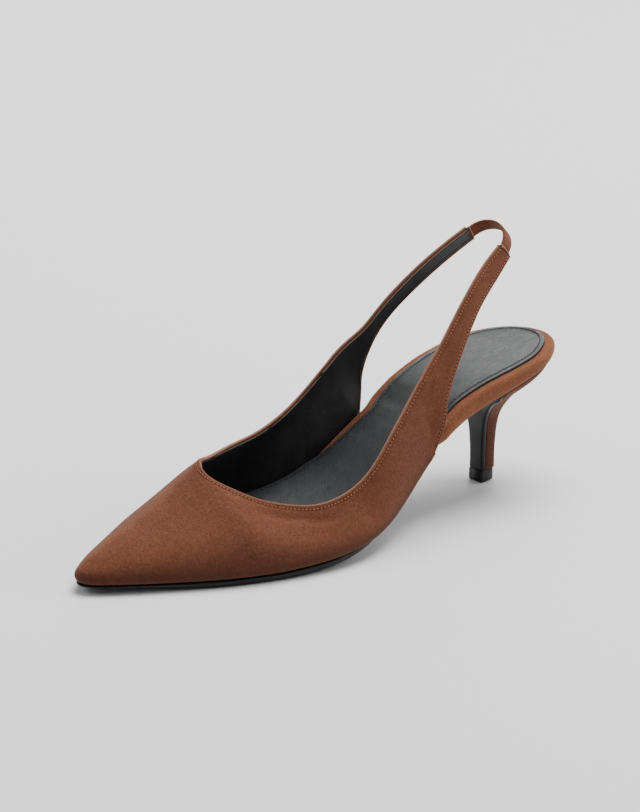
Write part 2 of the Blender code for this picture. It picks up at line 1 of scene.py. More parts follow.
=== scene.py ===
"""The looks of the left slingback pump: suede, lining, stitches, sock, sole and heel.

Metres, +Z up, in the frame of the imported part. The toe points to -Y and the wearer's outer side
is +X. The surfaces follow the section tables of the part's solids with finer steps. Only the
seat, the insole's waist, the sock's edge and the sole's tip are drawn closer to the picture.
"""

import math

import bmesh
import bpy
import numpy as np
from mathutils import Matrix, Vector, kdtree


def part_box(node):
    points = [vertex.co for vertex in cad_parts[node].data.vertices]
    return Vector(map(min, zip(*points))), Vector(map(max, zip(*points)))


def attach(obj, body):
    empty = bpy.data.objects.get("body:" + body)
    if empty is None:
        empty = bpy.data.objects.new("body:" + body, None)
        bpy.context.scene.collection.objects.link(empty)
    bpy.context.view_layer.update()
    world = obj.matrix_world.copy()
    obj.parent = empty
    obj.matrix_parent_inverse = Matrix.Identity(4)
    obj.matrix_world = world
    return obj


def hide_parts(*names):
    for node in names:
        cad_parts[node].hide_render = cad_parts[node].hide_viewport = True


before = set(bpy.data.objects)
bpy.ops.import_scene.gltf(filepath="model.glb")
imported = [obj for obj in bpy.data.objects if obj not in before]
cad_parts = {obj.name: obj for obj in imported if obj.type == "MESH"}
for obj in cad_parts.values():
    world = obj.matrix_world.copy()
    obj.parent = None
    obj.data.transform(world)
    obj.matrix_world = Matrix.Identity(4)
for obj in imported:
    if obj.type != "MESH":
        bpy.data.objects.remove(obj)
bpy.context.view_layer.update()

# Sizes of the last and the upper, as in the part's source.
LENGTH = 0.248
BALL_WIDTH = 0.0786
SEAT_WIDTH = 0.052
HEEL_RISE = 0.052
TOE_SPRING = 0.0008
TOE_REACH = 0.016
THROAT_HEIGHT = 0.0362
THROAT_FALL = 31
THROAT_TILT = 4
TOE_HEIGHT = 0.0088
STRAP_RISE = 0.060
UPPER_WALL = 0.0018
MARGIN_THICKNESS = 0.0008
FEATHER_RADIUS = 0.0024
QUARTER_CORNER = 0.0865
LOOP_WIDTH = 0.006
LOOP_THICKNESS = 0.0013
LOOP_PULL = 0.013
LOOP_SAG = 0.0020
LOOP_GAP = 0.0007
SOLE_THICKNESS = 0.0029
WAIST_THICKNESS = 0.002
SOLE_EDGE_ROUND = 0.0024
BOARD_FOREPART = 0.0016
BOARD_WAIST = 0.0033
BOARD_HEEL = 0.0056
BOARD_EDGE_ROUND = 0.0024
RAND_EASE = 0.008
TONGUE_TURN = 45
TONGUE_BENDS = 0.80
TONGUE_RUN = 0.006
SOCK_THICKNESS = 0.0009
SOCK_INSET = 0.006
LIFT_HEIGHT = 0.0055
LIFT_INSET = 0.0004
STEM_WIDTH = 0.0084
STEM_FRONT = 0.0395
STEM_BACK = 0.0298
SEAT_FRONT = 0.047
SEAT_INSET = 0.0016
STEM_SIDES = 0.7
STEM_ROUND = 0.85
GAP = 0.0003
TREAD_PRESS = 0.0001

# Sizes that differ from the solids. The seat's back end is drawn forward by SEAT_DRAW, less and
# less up to a share of LENGTH, and the sole's tongue lies nearer to the heel's breast.
SEAT_DRAW = 0.0018
SEAT_DRAW_END = 0.13
TIP_THICKNESS = 0.0010
GLUED = 0.00004

# Where the heel's back lies in the frame: the top lift gives it.
LIFT_LOW, LIFT_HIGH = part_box("top_lift")
SHIFT = np.array((
    (LIFT_LOW[0] + LIFT_HIGH[0]) / 2,
    (LIFT_LOW[1] + LIFT_HIGH[1]) / 2 + (STEM_FRONT + STEM_BACK) / 2,
    0.0,
))

# Edge profiles from the top's rim down: share of the rounding inwards, share of the height.
BOARD_EDGE = ((1.0, 1.0), (0.33, 0.93), (0.0, 0.66), (0.12, 0.30), (0.66, 0.0))
SOCK_EDGE = ((0.9, 1.0), (0.35, 0.93), (0.08, 0.8), (0.0, 0.6), (0.0, 0.0))
SOLE_EDGE = (
    (0.10, 1.0), (0.0, 0.94), (0.0, 0.72), (0.0, 0.5), (0.05, 0.36),
    (0.16, 0.22), (0.36, 0.10), (0.62, 0.03), (1.0, 0.0),
)
# The top lift's edge from its underside up: inset and height.
LIFT_EDGE = (
    (0.0008, 0.0), (0.0004, 0.0), (0.00015, 0.0002), (0.0, 0.0006),
    (0.0, LIFT_HEIGHT - 0.0004), (0.0001, LIFT_HEIGHT - 0.0001), (0.0004, LIFT_HEIGHT),
)
# The angles of the upper's rounded turn under the insole.
HEM_TURNS = (90, 72, 54, 36, 18)

# How finely the pieces are stepped.
RIBS_PER_STATION = 11
RIB_ROWS = 34
RIB_STEPS = 121
OUTLINE_STEPS = 220
LOOP_STEPS = 90
LOOP_SIDES = 28
HEEL_ROWS = 70
HEEL_SIDES = 56
LIFT_SIDES = 40
TONGUE_ROWS = 60
SOLE_ROWS = 180
BOARD_EDGE_STEPS = 15
SOCK_ACROSS = 22
SOCK_STITCH_STEPS = 260
CREASE_STEPS = 30
NORMAL_ROUNDS = 4
FOLD_STEP = 1e-4
# Points nearer than this are one, in the sheet and in the other pieces.
SHEET_MERGE = 2e-6
PIECE_MERGE = 1e-6
FLAT_EDGE = 1e-7
# The rows of a rib lie this far from its ends, where the suede is folded.
EDGE_ROWS = (0.0, 0.0001, 0.00025, 0.00045, 0.00075, 0.0011, 0.0013, 0.0016, 0.0019, 0.0022)
# The ridge's length from the throat to the next station.
RIDGE_STATION_LENGTH = 0.0135
# The tip's ribs all meet where this station's head lies.
TIP_STATION = 2
# The vamp's ribs are evened out over this many stations, between these stations. It fades out
# over a share of each rib at its ends, and a width under the least does nothing.
EVEN_STATIONS = 0.55
EVEN_BETWEEN = (5.0, 7.2, 9.5, 13.0)
EVEN_ENDS = 0.22
EVEN_LEAST = 0.02
# The back edge's stitches start this far behind the quarter's corner, in stations.
BACK_STITCH_START = 0.25

# The suede's folded edge, the dent along its stitches, the puff beyond them, and the reach of the
# edge's paler colour. A face counts as folded, or as lining, with a little slack.
EDGE_FOLD = 0.00075
FOLD_INSIDE = 0.0022
FOLD_SLACK = 2e-4
STITCH_DENT = 0.00016
STITCH_DENT_WIDTH = 0.0006
PUFF = 0.00010
PUFF_INSETS = 2.2
PUFF_WIDTH = 0.0012
EDGE_FADE = 0.00032
# The lining ends short of the fold, stands up a little there and shows its pale cut edge, partly a
# painted highlight.
LINING_EDGE = 0.0013
LINING_SLACK = 1.5e-4
LINING_STAND = 0.0003
LINING_CUT_AND_HIGHLIGHT_WIDTH = 0.00036
# The stitches. One takes up a share of its pitch, and a sink below nothing lets it stand out.
STITCH_INSET = 0.0019
STITCH_PITCH = 0.0016
STITCH_THICK = 0.00040
STITCH_SHARE = 0.72
STITCH_SINK = -0.00002
DARK_STITCH_SINK = -0.00004
# The elastic's hidden ends, the powers that make its section squarish, and its end threads.
LOOP_HIDDEN = 0.0035
LOOP_SQUARE = (0.22, 0.6)
END_THREAD = 0.0004
END_THREAD_SIDES = 8
# The sock's stitches, its dish in the middle and the share of GAP that stays open under it.
SOCK_STITCH_INSET = 0.0027
SOCK_STITCH_PITCH = 0.0023
SOCK_STITCH_THICK = 0.0005
SOCK_STITCH_END = 0.190
SOCK_DISH = 0.0006
DISH_ROUND = 1.5
SOCK_GLUE = 0.3
# How far the heel's breast corners are softened, and over how many points.
HEEL_CORNER_SOFT = 0.00025
HEEL_CORNER_POINTS = 1.2

# Colours, as light that they send back.
SUEDE_BROWN = (0.158, 0.052, 0.027)
SUEDE_DARK = (0.072, 0.024, 0.014)
SUEDE_LIGHT = (0.270, 0.104, 0.054)
EDGE_PALE = (0.420, 0.235, 0.160)
RAND_BROWN = (0.200, 0.070, 0.034)
RAND_DARK = (0.100, 0.034, 0.018)
RAND_LIGHT = (0.310, 0.122, 0.062)
CUT_PALE = (0.560, 0.400, 0.310)
THREAD_PALE = (0.480, 0.270, 0.190)
LINING_BLACK = (0.010, 0.010, 0.011)
# The lining's pale cut edge, partly a painted highlight.
LINING_CUT_AND_HIGHLIGHT = (0.300, 0.230, 0.190)
SUEDE_SHADE = (0.050, 0.019, 0.012)
# The heel's suede, painted darker as the shade that lies on the heel.
HEEL_SHADED_BROWN = (0.082, 0.028, 0.016)
SOCK_BLACK = (0.020, 0.021, 0.022)
LEATHER_WORN = (0.036, 0.037, 0.039)
SOLE_BLACK = (0.006, 0.006, 0.007)
SOLE_DUSTY = (0.020, 0.019, 0.018)
THREAD_BROWN = (0.420, 0.150, 0.052)
THREAD_BLACK = (0.016, 0.018, 0.024)
# Painted shade in the needle holes at the stitches' ends.
HOLE_SHADE = (0.020, 0.010, 0.008)
FLOOR_GREY = (0.780, 0.775, 0.788)
WORLD_GREY = (0.90, 0.90, 0.92)

# The light. The floor lies a hair lower than the sole, so that they don't share a face.
WORLD_STRENGTH = 0.34
FLOOR_DROP = 0.00005
SOFT_BOXES = (
    ("overhead", (-0.25, 0.75, 2.1), (1.6, 1.6), 96.0),
    ("left_front", (-1.5, -1.4, 1.3), (1.3, 1.3), 12.0),
    ("right_back", (1.3, 1.5, 0.95), (1.3, 1.1), 18.0),
    ("behind", (-1.7, 1.5, 0.8), (1.8, 1.0), 17.0),
)

# Painted shade on the suede. Low down on a rib it is darkest, up to one share of the rib before
# SHADE_STATION and another behind it, and LOW_BEHIND of it is left behind the quarter's corner.
# QUARTER_SHADE is painted shade over the quarter and INSIDE_SHADE on the suede folded inside.
LOW_SHADE_FOOT = 0.02
LOW_SHADE_TOPS = (0.50, 0.36)
SHADE_STATION = 14
LOW_BEHIND = 0.35
QUARTER_SHADE = 0.26
INSIDE_SHADE = 0.5

# Soft creases in the suede: side, stops as (station, share up the rib), width and depth. They
# reach some widths to each side, fade out over a share of their length and swell at their rims.
CREASE_REACH = 3.2
CREASE_FADE = 0.35
CREASE_SWELL = 0.9
CREASES = (
    (1, ((9.6, 0.71), (11.0, 0.74), (12.4, 0.75), (13.8, 0.62)), 0.0026, 0.00042),
    (1, ((11.9, 0.66), (12.7, 0.67), (13.5, 0.64)), 0.0018, 0.00030),
    (1, ((8.1, 0.74), (9.1, 0.66), (10.2, 0.60)), 0.0022, 0.00022),
    (1, ((14.2, 0.52), (14.6, 0.38), (14.8, 0.22)), 0.0022, 0.00030),
    (1, ((18.4, 0.62), (19.1, 0.72), (19.8, 0.84)), 0.0026, 0.00028),
)


def table(columns, rows):
    """A table as a dictionary of named columns."""
    return dict(zip(columns.split(), np.array(rows, float).T))


# The last's outline in plan. along is a share of LENGTH from the heel.
OUTLINE = table("along seat ball swing", (
    (0.000, 0.000, 0.000, 0.003),
    (0.012, 0.400, 0.000, 0.002),
    (0.040, 0.685, 0.000, 0.000),
    (0.100, 0.950, 0.000, 0.000),
    (0.200, 0.998, 0.000, 0.009),
    (0.302, 0.500, 0.300, 0.018),
    (0.403, 0.150, 0.600, 0.049),
    (0.504, 0.000, 0.864, 0.074),
    (0.605, 0.000, 0.992, 0.050),
    (0.665, 0.000, 1.005, 0.018),
    (0.726, 0.000, 0.958, -0.008),
    (0.806, 0.000, 0.800, -0.028),
    (0.887, 0.000, 0.547, -0.039),
    (0.948, 0.000, 0.330, -0.045),
    (0.984, 0.000, 0.176, -0.047),
    (1.000, 0.000, 0.000, -0.049),
))

# The line on which the outsole's top lies, seen from the side. The seat lies higher than in the
# solids.
PROFILE = table("along rise spring", (
    (0.000, 1.012, 0.0),
    (0.040, 0.994, 0.0),
    (0.100, 0.949, 0.0),
    (0.200, 0.838, 0.0),
    (0.302, 0.644, 0.0),
    (0.403, 0.330, 0.0),
    (0.450, 0.202, 0.0),
    (0.504, 0.102, 0.0),
    (0.560, 0.054, 0.0),
    (0.630, 0.023, 0.0),
    (0.700, 0.004, 0.0),
    (0.770, 0.000, 0.0),
    (0.840, 0.000, 0.15),
    (0.920, 0.000, 0.55),
    (1.000, 0.000, 1.0),
))

# Thickness of the insole board as shares of its three named thicknesses. It is thicker in the
# waist than in the solids.
BOARD = table("along heel waist fore", (
    (0.000, 1.00, 0.00, 0.0),
    (0.100, 1.02, 0.00, 0.0),
    (0.160, 1.16, 0.00, 0.0),
    (0.210, 1.32, 0.00, 0.0),
    (0.280, 1.42, 0.00, 0.0),
    (0.340, 0.70, 0.90, 0.0),
    (0.370, 0.40, 1.55, 0.0),
    (0.400, 0.00, 2.30, 0.0),
    (0.430, 0.00, 1.95, 0.0),
    (0.460, 0.00, 1.55, 0.0),
    (0.500, 0.00, 1.20, 0.0),
    (0.600, 0.00, 0.00, 1.0),
    (1.000, 0.0, 0.0, 1.0),
))

# How far the sock's edge stands back from the board's, a share of SOCK_INSET.
SOCK = table("along setback", (
    (0.00, 0.80),
    (0.15, 0.87),
    (0.22, 0.86),
    (0.30, 0.90),
    (0.35, 1.00),
    (0.37, 0.96),
    (0.40, 0.80),
    (0.43, 0.56),
    (0.46, 0.12),
    (1.00, 0.08),
))

# Shares of LENGTH between which the sole grows from the waist's thickness to the forepart's,
# and thins again to the tip.
SOLE_THICKENS = (0.45, 0.65)
SOLE_THINS = (0.80, 0.97)

# How far the outsole's edge is tucked in under the last's outline, a share of BALL_WIDTH.
TUCK = table("along tuck", (
    (0.00, 0.020),
    (0.19, 0.024),
    (0.24, 0.080),
    (0.30, 0.105),
    (0.40, 0.085),
    (0.50, 0.048),
    (0.60, 0.016),
    (0.68, 0.010),
    (1.00, 0.010),
))

# The vamp's ribs, from the toe to the throat, in the last row.
RIDGE = table("low spread along rise across turn low_angle high_angle", (
    (1.0000, 0.000, 0.976, 0.00, -0.048, 90, 84, 24),
    (0.9985, 0.000, 0.976, 0.00, -0.048, 62, 84, 18),
    (0.9930, 0.000, 0.976, 0.00, -0.048, 30, 84, 10),
    (0.9800, 0.000, 0.968, 0.05, -0.048, 0, 83, 4),
    (0.9500, 0.002, 0.938, 0.16, -0.052, 0, 82, 2),
    (0.9000, 0.005, 0.888, 0.32, -0.060, 0, 81, 0),
    (0.8400, 0.010, 0.838, 0.49, -0.070, 0, 80, 0),
    (0.7880, 0.018, 0.786, 0.70, -0.090, 0, 80, 0),
    (0.7400, 0.026, 0.7335, 1.00, -0.115, 0, 80, 0),
))
RIDGE_HEADS = table("outer_pull inner_pull outer_twist inner_twist", (
    (0.36, 0.36, 0, 0),
    (0.34, 0.34, 0, 0),
    (0.32, 0.32, 0, 0),
    (0.30, 0.30, 0, 0),
    (0.28, 0.26, 0, 0),
    (0.26, 0.22, 0, 0),
    (0.27, 0.19, 6, 1),
    (0.30, 0.16, 26, 3),
    (0.34, 0.13, 46, 6),
))
# How full every rib is above its foot, and the quarter's ribs are below their heads.
FOOT_PULL = 0.30
QUARTER_PULL = 0.32
# Stations past the throat over which the heads' twist dies away.
TWIST_FADE = 0.9

# The topline of each side, from the throat to the strap's end.
OUTER_TOP = table("along rise across angle", (
    (0.7415, 0.553, 0.000, 16),
    (0.7220, 0.488, 0.134, 30),
    (0.6930, 0.423, 0.242, 44),
    (0.6510, 0.370, 0.331, 58),
    (0.6090, 0.345, 0.388, 66),
    (0.5600, 0.370, 0.417, 72),
    (0.5120, 0.447, 0.420, 75),
    (0.4680, 0.565, 0.406, 78),
    (0.4230, 0.643, 0.373, 80),
    (0.3930, 0.683, 0.351, 80),
    (0.3790, 0.702, 0.344, 80),
    (0.3590, 0.725, 0.331, 80),
    (0.3310, 0.742, 0.310, 80),
    (0.2960, 0.790, 0.280, 80),
    (0.2480, 0.868, 0.234, 80),
    (0.2010, 0.938, 0.187, 80),
    (0.1565, 0.993, 0.153, 80),
))
INNER_TOP = table("along rise across angle", (
    (0.7060, 0.592, -0.172, 24),
    (0.6730, 0.571, -0.229, 44),
    (0.6350, 0.547, -0.290, 56),
    (0.5990, 0.530, -0.331, 66),
    (0.5625, 0.522, -0.356, 70),
    (0.5280, 0.533, -0.369, 73),
    (0.4900, 0.562, -0.371, 76),
    (0.4550, 0.600, -0.367, 78),
    (0.4240, 0.645, -0.356, 80),
    (0.4050, 0.672, -0.347, 80),
    (0.3870, 0.692, -0.340, 80),
    (0.3630, 0.697, -0.327, 80),
    (0.3350, 0.705, -0.305, 80),
    (0.3045, 0.772, -0.274, 80),
    (0.2610, 0.863, -0.229, 80),
    (0.2180, 0.944, -0.187, 80),
    (0.1520, 1.032, -0.145, 80),
))
FEATHER_STATIONS = (0.716, 0.693, 0.666, 0.635, 0.598, 0.556, 0.509, 0.460, 0.398)
OUTER_BACK = table("along rise across", (
    (0.3318, 0.182, 0.369),
    (0.3266, 0.315, 0.366),
    (0.3085, 0.432, 0.346),
    (0.2702, 0.572, 0.308),
    (0.2218, 0.690, 0.248),
    (0.1734, 0.778, 0.201),
    (0.1302, 0.860, 0.158),
))
INNER_BACK = table("along rise across", (
    (0.3335, 0.195, -0.331),
    (0.3278, 0.332, -0.333),
    (0.3129, 0.463, -0.321),
    (0.2839, 0.590, -0.293),
    (0.2379, 0.700, -0.247),
    (0.1948, 0.805, -0.191),
    (0.1294, 0.900, -0.151),
))

# The heel widens from its stem to its seat.
FLARE = table("height flare", (
    (0.00, 0.000),
    (0.15, 0.000),
    (0.32, 0.018),
    (0.48, 0.060),
    (0.59, 0.145),
    (0.68, 0.280),
    (0.77, 0.465),
    (0.86, 0.720),
    (0.94, 0.920),
    (1.00, 1.000),
))


def spline(knots, values):
    """A natural cubic spline through the points, as a function."""
    x = np.asarray(knots, float)
    y = np.asarray(values, float)
    h = np.diff(x)
    n = len(x)
    system = np.eye(n)
    right = np.zeros(n)
    for i in range(1, n - 1):
        system[i, i - 1:i + 2] = h[i - 1], 2 * (h[i - 1] + h[i]), h[i]
        right[i] = 6 * ((y[i + 1] - y[i]) / h[i] - (y[i] - y[i - 1]) / h[i - 1])
    bend = np.linalg.solve(system, right)

    def at(t):
        i = int(np.clip(np.searchsorted(x, t) - 1, 0, n - 2))
        a = (x[i + 1] - t) / h[i]
        b = (t - x[i]) / h[i]
        cubic = ((a ** 3 - a) * bend[i] + (b ** 3 - b) * bend[i + 1]) * h[i] ** 2 / 6
        return a * y[i] + b * y[i + 1] + cubic

    return at


def fan(along):
    """The angle round the outline at a share of its length: even steps come close at both ends."""
    return math.acos(1 - 2 * min(max(along, 0.0), 1.0))


def share_of(angle):
    return (1 - math.cos(angle)) / 2


FAN = [fan(along) for along in OUTLINE["along"]]
RAND_END = QUARTER_CORNER - 0.001
seat_share = spline(FAN, OUTLINE["seat"])
ball_share = spline(FAN, OUTLINE["ball"])
swing_share = spline(FAN, OUTLINE["swing"])
rise_share = spline(PROFILE["along"], PROFILE["rise"])
spring_share = spline(PROFILE["along"], PROFILE["spring"])
tuck_share = spline(TUCK["along"], TUCK["tuck"])
flare_share = spline(FLARE["height"], FLARE["flare"])


def ease(value, low, high):
    t = min(max((value - low) / (high - low), 0.0), 1.0)
    return t * t * (3 - 2 * t)


def edge_point(side, angle):
    """A point of the last's outline in plan: (across, along)."""
    half = seat_share(angle) * SEAT_WIDTH / 2 + ball_share(angle) * BALL_WIDTH / 2
    share = share_of(angle)
    along = share * LENGTH + SEAT_DRAW * (1 - ease(share, 0.0, SEAT_DRAW_END))
    return np.array((swing_share(angle) * BALL_WIDTH + side * half, along))


def edge_inset(side, angle, inset):
    """The outline moved inwards along its own normal."""
    step = 1e-3
    low, high = max(angle - step, 0.0), min(angle + step, math.pi)
    run = edge_point(side, high) - edge_point(side, low)
    run /= np.linalg.norm(run)
    inward = np.array((-side * run[1], side * run[0]))
    if angle < step or angle > math.pi - step:
        inward = np.array((0.0, 1.0 if angle < 1 else -1.0))
    return edge_point(side, angle) + inset * inward


def middle_goal(point):
    """The point of the middle line towards which a point in plan is moved."""
    along = min(max(point[1], SEAT_WIDTH / 2), LENGTH - TOE_REACH)
    return np.array((swing_share(fan(along / LENGTH)) * BALL_WIDTH, along))


def sole_line(along):
    """Height of the outsole's top at a distance from the heel."""
    share = along / LENGTH
    rise = rise_share(share) * HEEL_RISE + spring_share(share) * TOE_SPRING
    return SOLE_THICKNESS - TREAD_PRESS + rise


def quarter_share(along):
    """0 under the bare heel part of the insole, 1 where the upper stands round it."""
    return ease(along, RAND_END - RAND_EASE, RAND_END)


def board_bottom(along):
    return sole_line(along) + GAP + quarter_share(along) * (MARGIN_THICKNESS + GAP)


def board_top(along):
    share = along / LENGTH
    sizes = BOARD_HEEL, BOARD_WAIST, BOARD_FOREPART
    thickness = sum(
        np.interp(share, BOARD["along"], BOARD[name]) * size
        for name, size in zip(("heel", "waist", "fore"), sizes)
    )
    return board_bottom(along) + thickness


def board_inset(along):
    return quarter_share(along) * (UPPER_WALL + GAP)


def place(across, along, height):
    """A point in the frame from its way across, its distance from the heel and its height."""
    return SHIFT + (across, -along, height)


def unit(vector):
    return vector / np.linalg.norm(vector)


def run_along(points):
    """The distance run along a line at each of its points."""
    return np.concatenate(([0], np.cumsum(np.linalg.norm(np.diff(points, axis=0), axis=1))))


def squarish(wave, power):
    """A sine or cosine raised to a power, with its sign kept."""
    return math.copysign(abs(wave) ** power, wave)


def search_tree(points):
    tree = kdtree.KDTree(len(points))
    for i, point in enumerate(points):
        tree.insert(point, i)
    tree.balance()
    return tree


# Meshes

def new_piece(name, points, faces, materials, face_materials=None):
    """A smooth mesh piece from points and faces."""
    data = bpy.data.meshes.new(name)
    data.from_pydata([tuple(p) for p in points], [], faces)
    for finish in materials:
        data.materials.append(finish)
    if face_materials is not None:
        data.polygons.foreach_set("material_index", np.array(face_materials, np.int32))
    data.shade_smooth()
    made = bpy.data.objects.new(name, data)
    bpy.context.scene.collection.objects.link(made)
    return made


def merge_points(made, distance, dissolve=0.0):
    """Merges a piece's points that lie together, and takes out faces without a size."""
    mesh = bmesh.new()
    mesh.from_mesh(made.data)
    bmesh.ops.remove_doubles(mesh, verts=mesh.verts, dist=distance)
    if dissolve:
        bmesh.ops.dissolve_degenerate(mesh, edges=mesh.edges, dist=dissolve)
    mesh.to_mesh(made.data)
    mesh.free()
    return made


def closed_piece(name, points, faces, materials):
    made = new_piece(name, points, faces, materials)
    return merge_points(made, PIECE_MERGE, FLAT_EDGE)


def grid_faces(rows, columns, start=0, flip=False, close=False):
    """Quads over a grid of points stored row by row."""
    faces = []
    for i in range(rows - 1):
        for j in range(columns if close else columns - 1):
            k = (j + 1) % columns
            a, b = start + i * columns + j, start + i * columns + k
            c, d = start + (i + 1) * columns + k, start + (i + 1) * columns + j
            faces.append((a, d, c, b) if flip else (a, b, c, d))
    return faces


def outward(points, faces):
    """The faces, turned round if they enclose a negative volume."""
    volume = 0.0
    for face in faces:
        for i in range(1, len(face) - 1):
            a, b, c = points[face[0]], points[face[i]], points[face[i + 1]]
            volume += float(np.dot(a, np.cross(b, c)))
    return faces if volume > 0 else [face[::-1] for face in faces]


def lofted(name, loops, materials, caps=(False, False)):
    """A closed piece through loops of as many points each."""
    loops = np.array(loops)
    rows, columns = loops.shape[:2]
    points = loops.reshape(-1, 3)
    faces = grid_faces(rows, columns, close=True)
    if caps[0]:
        faces.append(tuple(range(columns))[::-1])
    if caps[1]:
        faces.append(tuple(range((rows - 1) * columns, rows * columns)))
    faces = outward(points - points.mean(axis=0), faces)
    return closed_piece(name, points, faces, materials)


# The upper

def feather_point(side, angle):
    across, along = edge_point(side, angle)
    return place(across, along, sole_line(along) + GAP + FEATHER_RADIUS)


def back_rows(side):
    """The back edge of a quarter and its strap, from the corner on the feather line."""
    back = OUTER_BACK if side > 0 else INNER_BACK
    corner = QUARTER_CORNER / LENGTH
    across, _ = edge_point(side, fan(corner))
    start = {
        "along": corner,
        "rise": (GAP + FEATHER_RADIUS) / STRAP_RISE,
        "across": across / BALL_WIDTH,
    }
    return {key: spline(range(8), [start[key], *back[key]]) for key in start}


ridge_rows = {**RIDGE, **RIDGE_HEADS}
ridge_curve = {key: spline(range(9), ridge_rows[key]) for key in ridge_rows}
throat = {
    "along": RIDGE["along"][-1],
    "across": RIDGE["across"][-1],
    "rise": THROAT_HEIGHT / STRAP_RISE,
}
top_curve = {
    key: spline(range(-17, 18), [*INNER_TOP[key][::-1], throat[key], *OUTER_TOP[key]])
    for key in throat
}
top_angle = {
    1: spline(range(18), [THROAT_TILT, *OUTER_TOP["angle"]]),
    -1: spline(range(18), [-THROAT_TILT, *INNER_TOP["angle"]]),
}
back_curve = {side: back_rows(side) for side in (1, -1)}
feather_curve = spline(range(11), [RIDGE["low"][-1], *FEATHER_STATIONS, QUARTER_CORNER / LENGTH])

# Stations along the upper: the throat, the quarter's corner and the strap's end.
THROAT, CORNER, STRAP_END = 8, 18, 25


def head_slope(side, tilt, twist):
    """Slope of a rib's head, in degrees, where the vamp tilts sideways and falls to the toe."""
    sideways = math.tan(math.radians(tilt)) * math.cos(math.radians(twist))
    forward = math.tan(math.radians(THROAT_FALL)) * math.sin(math.radians(twist))
    return math.degrees(math.atan(sideways + side * forward))


def foot_angle(side, station):
    """The angle round the outline at which a rib of the vamp or the quarter stands."""
    if station <= THROAT:
        return fan(ridge_curve["low"](station) + side * ridge_curve["spread"](station))
    k = station - THROAT
    return fan(feather_curve(k) + side * RIDGE["spread"][-1] * (1 - ease(k, 0, 7)))


def rib(side, station):
    """The four points of the cubic curve of one rib of the upper, low edge first."""
    name = "outer" if side > 0 else "inner"
    turn = 0.0
    if station <= THROAT:
        k = station
        head = max(k, TIP_STATION)
        along = ridge_curve["along"](head) * LENGTH
        height = TOE_HEIGHT + (THROAT_HEIGHT - TOE_HEIGHT) * ridge_curve["rise"](head)
        across = ridge_curve["across"](head)
        turn = max(ridge_curve["turn"](k), 0.0) if k < 3 else 0.0
        twist = ridge_curve[name + "_twist"](k) if k > 4 else 0.0
        slope = ridge_curve["high_angle"](k)
        slope += head_slope(side, side * THROAT_TILT * ease(k, 3, 8), twist)
        low_angle = ridge_curve["low_angle"](k)
        pull = ridge_curve[name + "_pull"](k)
    else:
        k = station - THROAT
        along = top_curve["along"](side * k) * LENGTH
        height = top_curve["rise"](side * k) * STRAP_RISE
        across = top_curve["across"](side * k)
        twist = RIDGE_HEADS[name + "_twist"][-1] * math.exp(-k / TWIST_FADE)
        slope = head_slope(side, top_angle[side](k), twist)
        low_angle = 80 + 10 * ease(k, 0, 6) - 8 * ease(k, 10, 14)
        least = RIDGE_HEADS[name + "_pull"][-1]
        pull = least + (QUARTER_PULL - least) * ease(k, 0, 6)
    high = place(across * BALL_WIDTH, along, sole_line(along) + height)
    if station <= CORNER:
        low = feather_point(side, foot_angle(side, station))
    else:
        curve = back_curve[side]
        along = curve["along"](k - 10) * LENGTH
        height = sole_line(along) + curve["rise"](k - 10) * STRAP_RISE
        low = place(curve["across"](k - 10) * BALL_WIDTH, along, height)
    turn, twist = math.radians(turn), math.radians(twist)
    out = np.array((side * math.cos(turn), -math.sin(turn), 0))
    head_out = np.array((side * math.cos(turn + twist), -math.sin(turn + side * twist), 0))
    chord = low - high
    reach = np.linalg.norm(chord)
    down = unit(chord - out * chord.dot(out))
    a, b = math.radians(low_angle), math.radians(slope)
    first = low + (out * math.cos(a) - down * math.sin(a)) * FOOT_PULL * reach
    second = high + (head_out * math.cos(b) + down * math.sin(b)) * pull * reach
    return np.array((low, first, second, high))


def on_rib(curve, t):
    s = 1 - t
    a, b, c, d = s ** 3, 3 * s * s * t, 3 * s * t * t, t ** 3
    return a * curve[0] + b * curve[1] + c * curve[2] + d * curve[3]


def evened(ribs, stations):
    """Ribs, each as many points, evened out along the shoe near the throat; their ends stay."""
    near, start, stop, far = EVEN_BETWEEN
    spacing = np.gradient(stations)
    made = ribs.copy()
    ends = np.array([ease(min(t, 1 - t), 0.0, EVEN_ENDS) for t in np.linspace(0, 1, ribs.shape[1])])
    for i, station in enumerate(stations):
        width = EVEN_STATIONS * ease(station, near, start) * (1 - ease(station, stop, far))
        if width < EVEN_LEAST:
            continue
        weights = spacing * np.exp(-((stations - station) / width) ** 2 / 2)
        mean = np.tensordot(weights / weights.sum(), ribs, axes=(0, 0))
        made[i] += (mean - ribs[i]) * ends[:, None]
    return made


def even_rows(fine, rows):
    """Points down a rib, close together at both ends where its edges are folded or turned."""
    run = run_along(fine)
    near = np.array(EDGE_ROWS)
    middle = np.linspace(near[-1], run[-1] - near[-1], rows)[1:-1]
    wanted = np.concatenate((near, middle, run[-1] - near[::-1]))
    return np.stack([np.interp(wanted, run, fine[:, axis]) for axis in range(3)], axis=1)


def hem_points(side, angle):
    """The rounded turn under the insole, from its inner end to the feather line."""
    edge = edge_point(side, angle)
    way = unit(middle_goal(edge) - edge)
    points = []
    for turn in np.radians(HEM_TURNS):
        x, y = edge + way * FEATHER_RADIUS * (1 - math.cos(turn))
        points.append(place(x, y, sole_line(y) + GAP + FEATHER_RADIUS * (1 - math.sin(turn))))
    return points


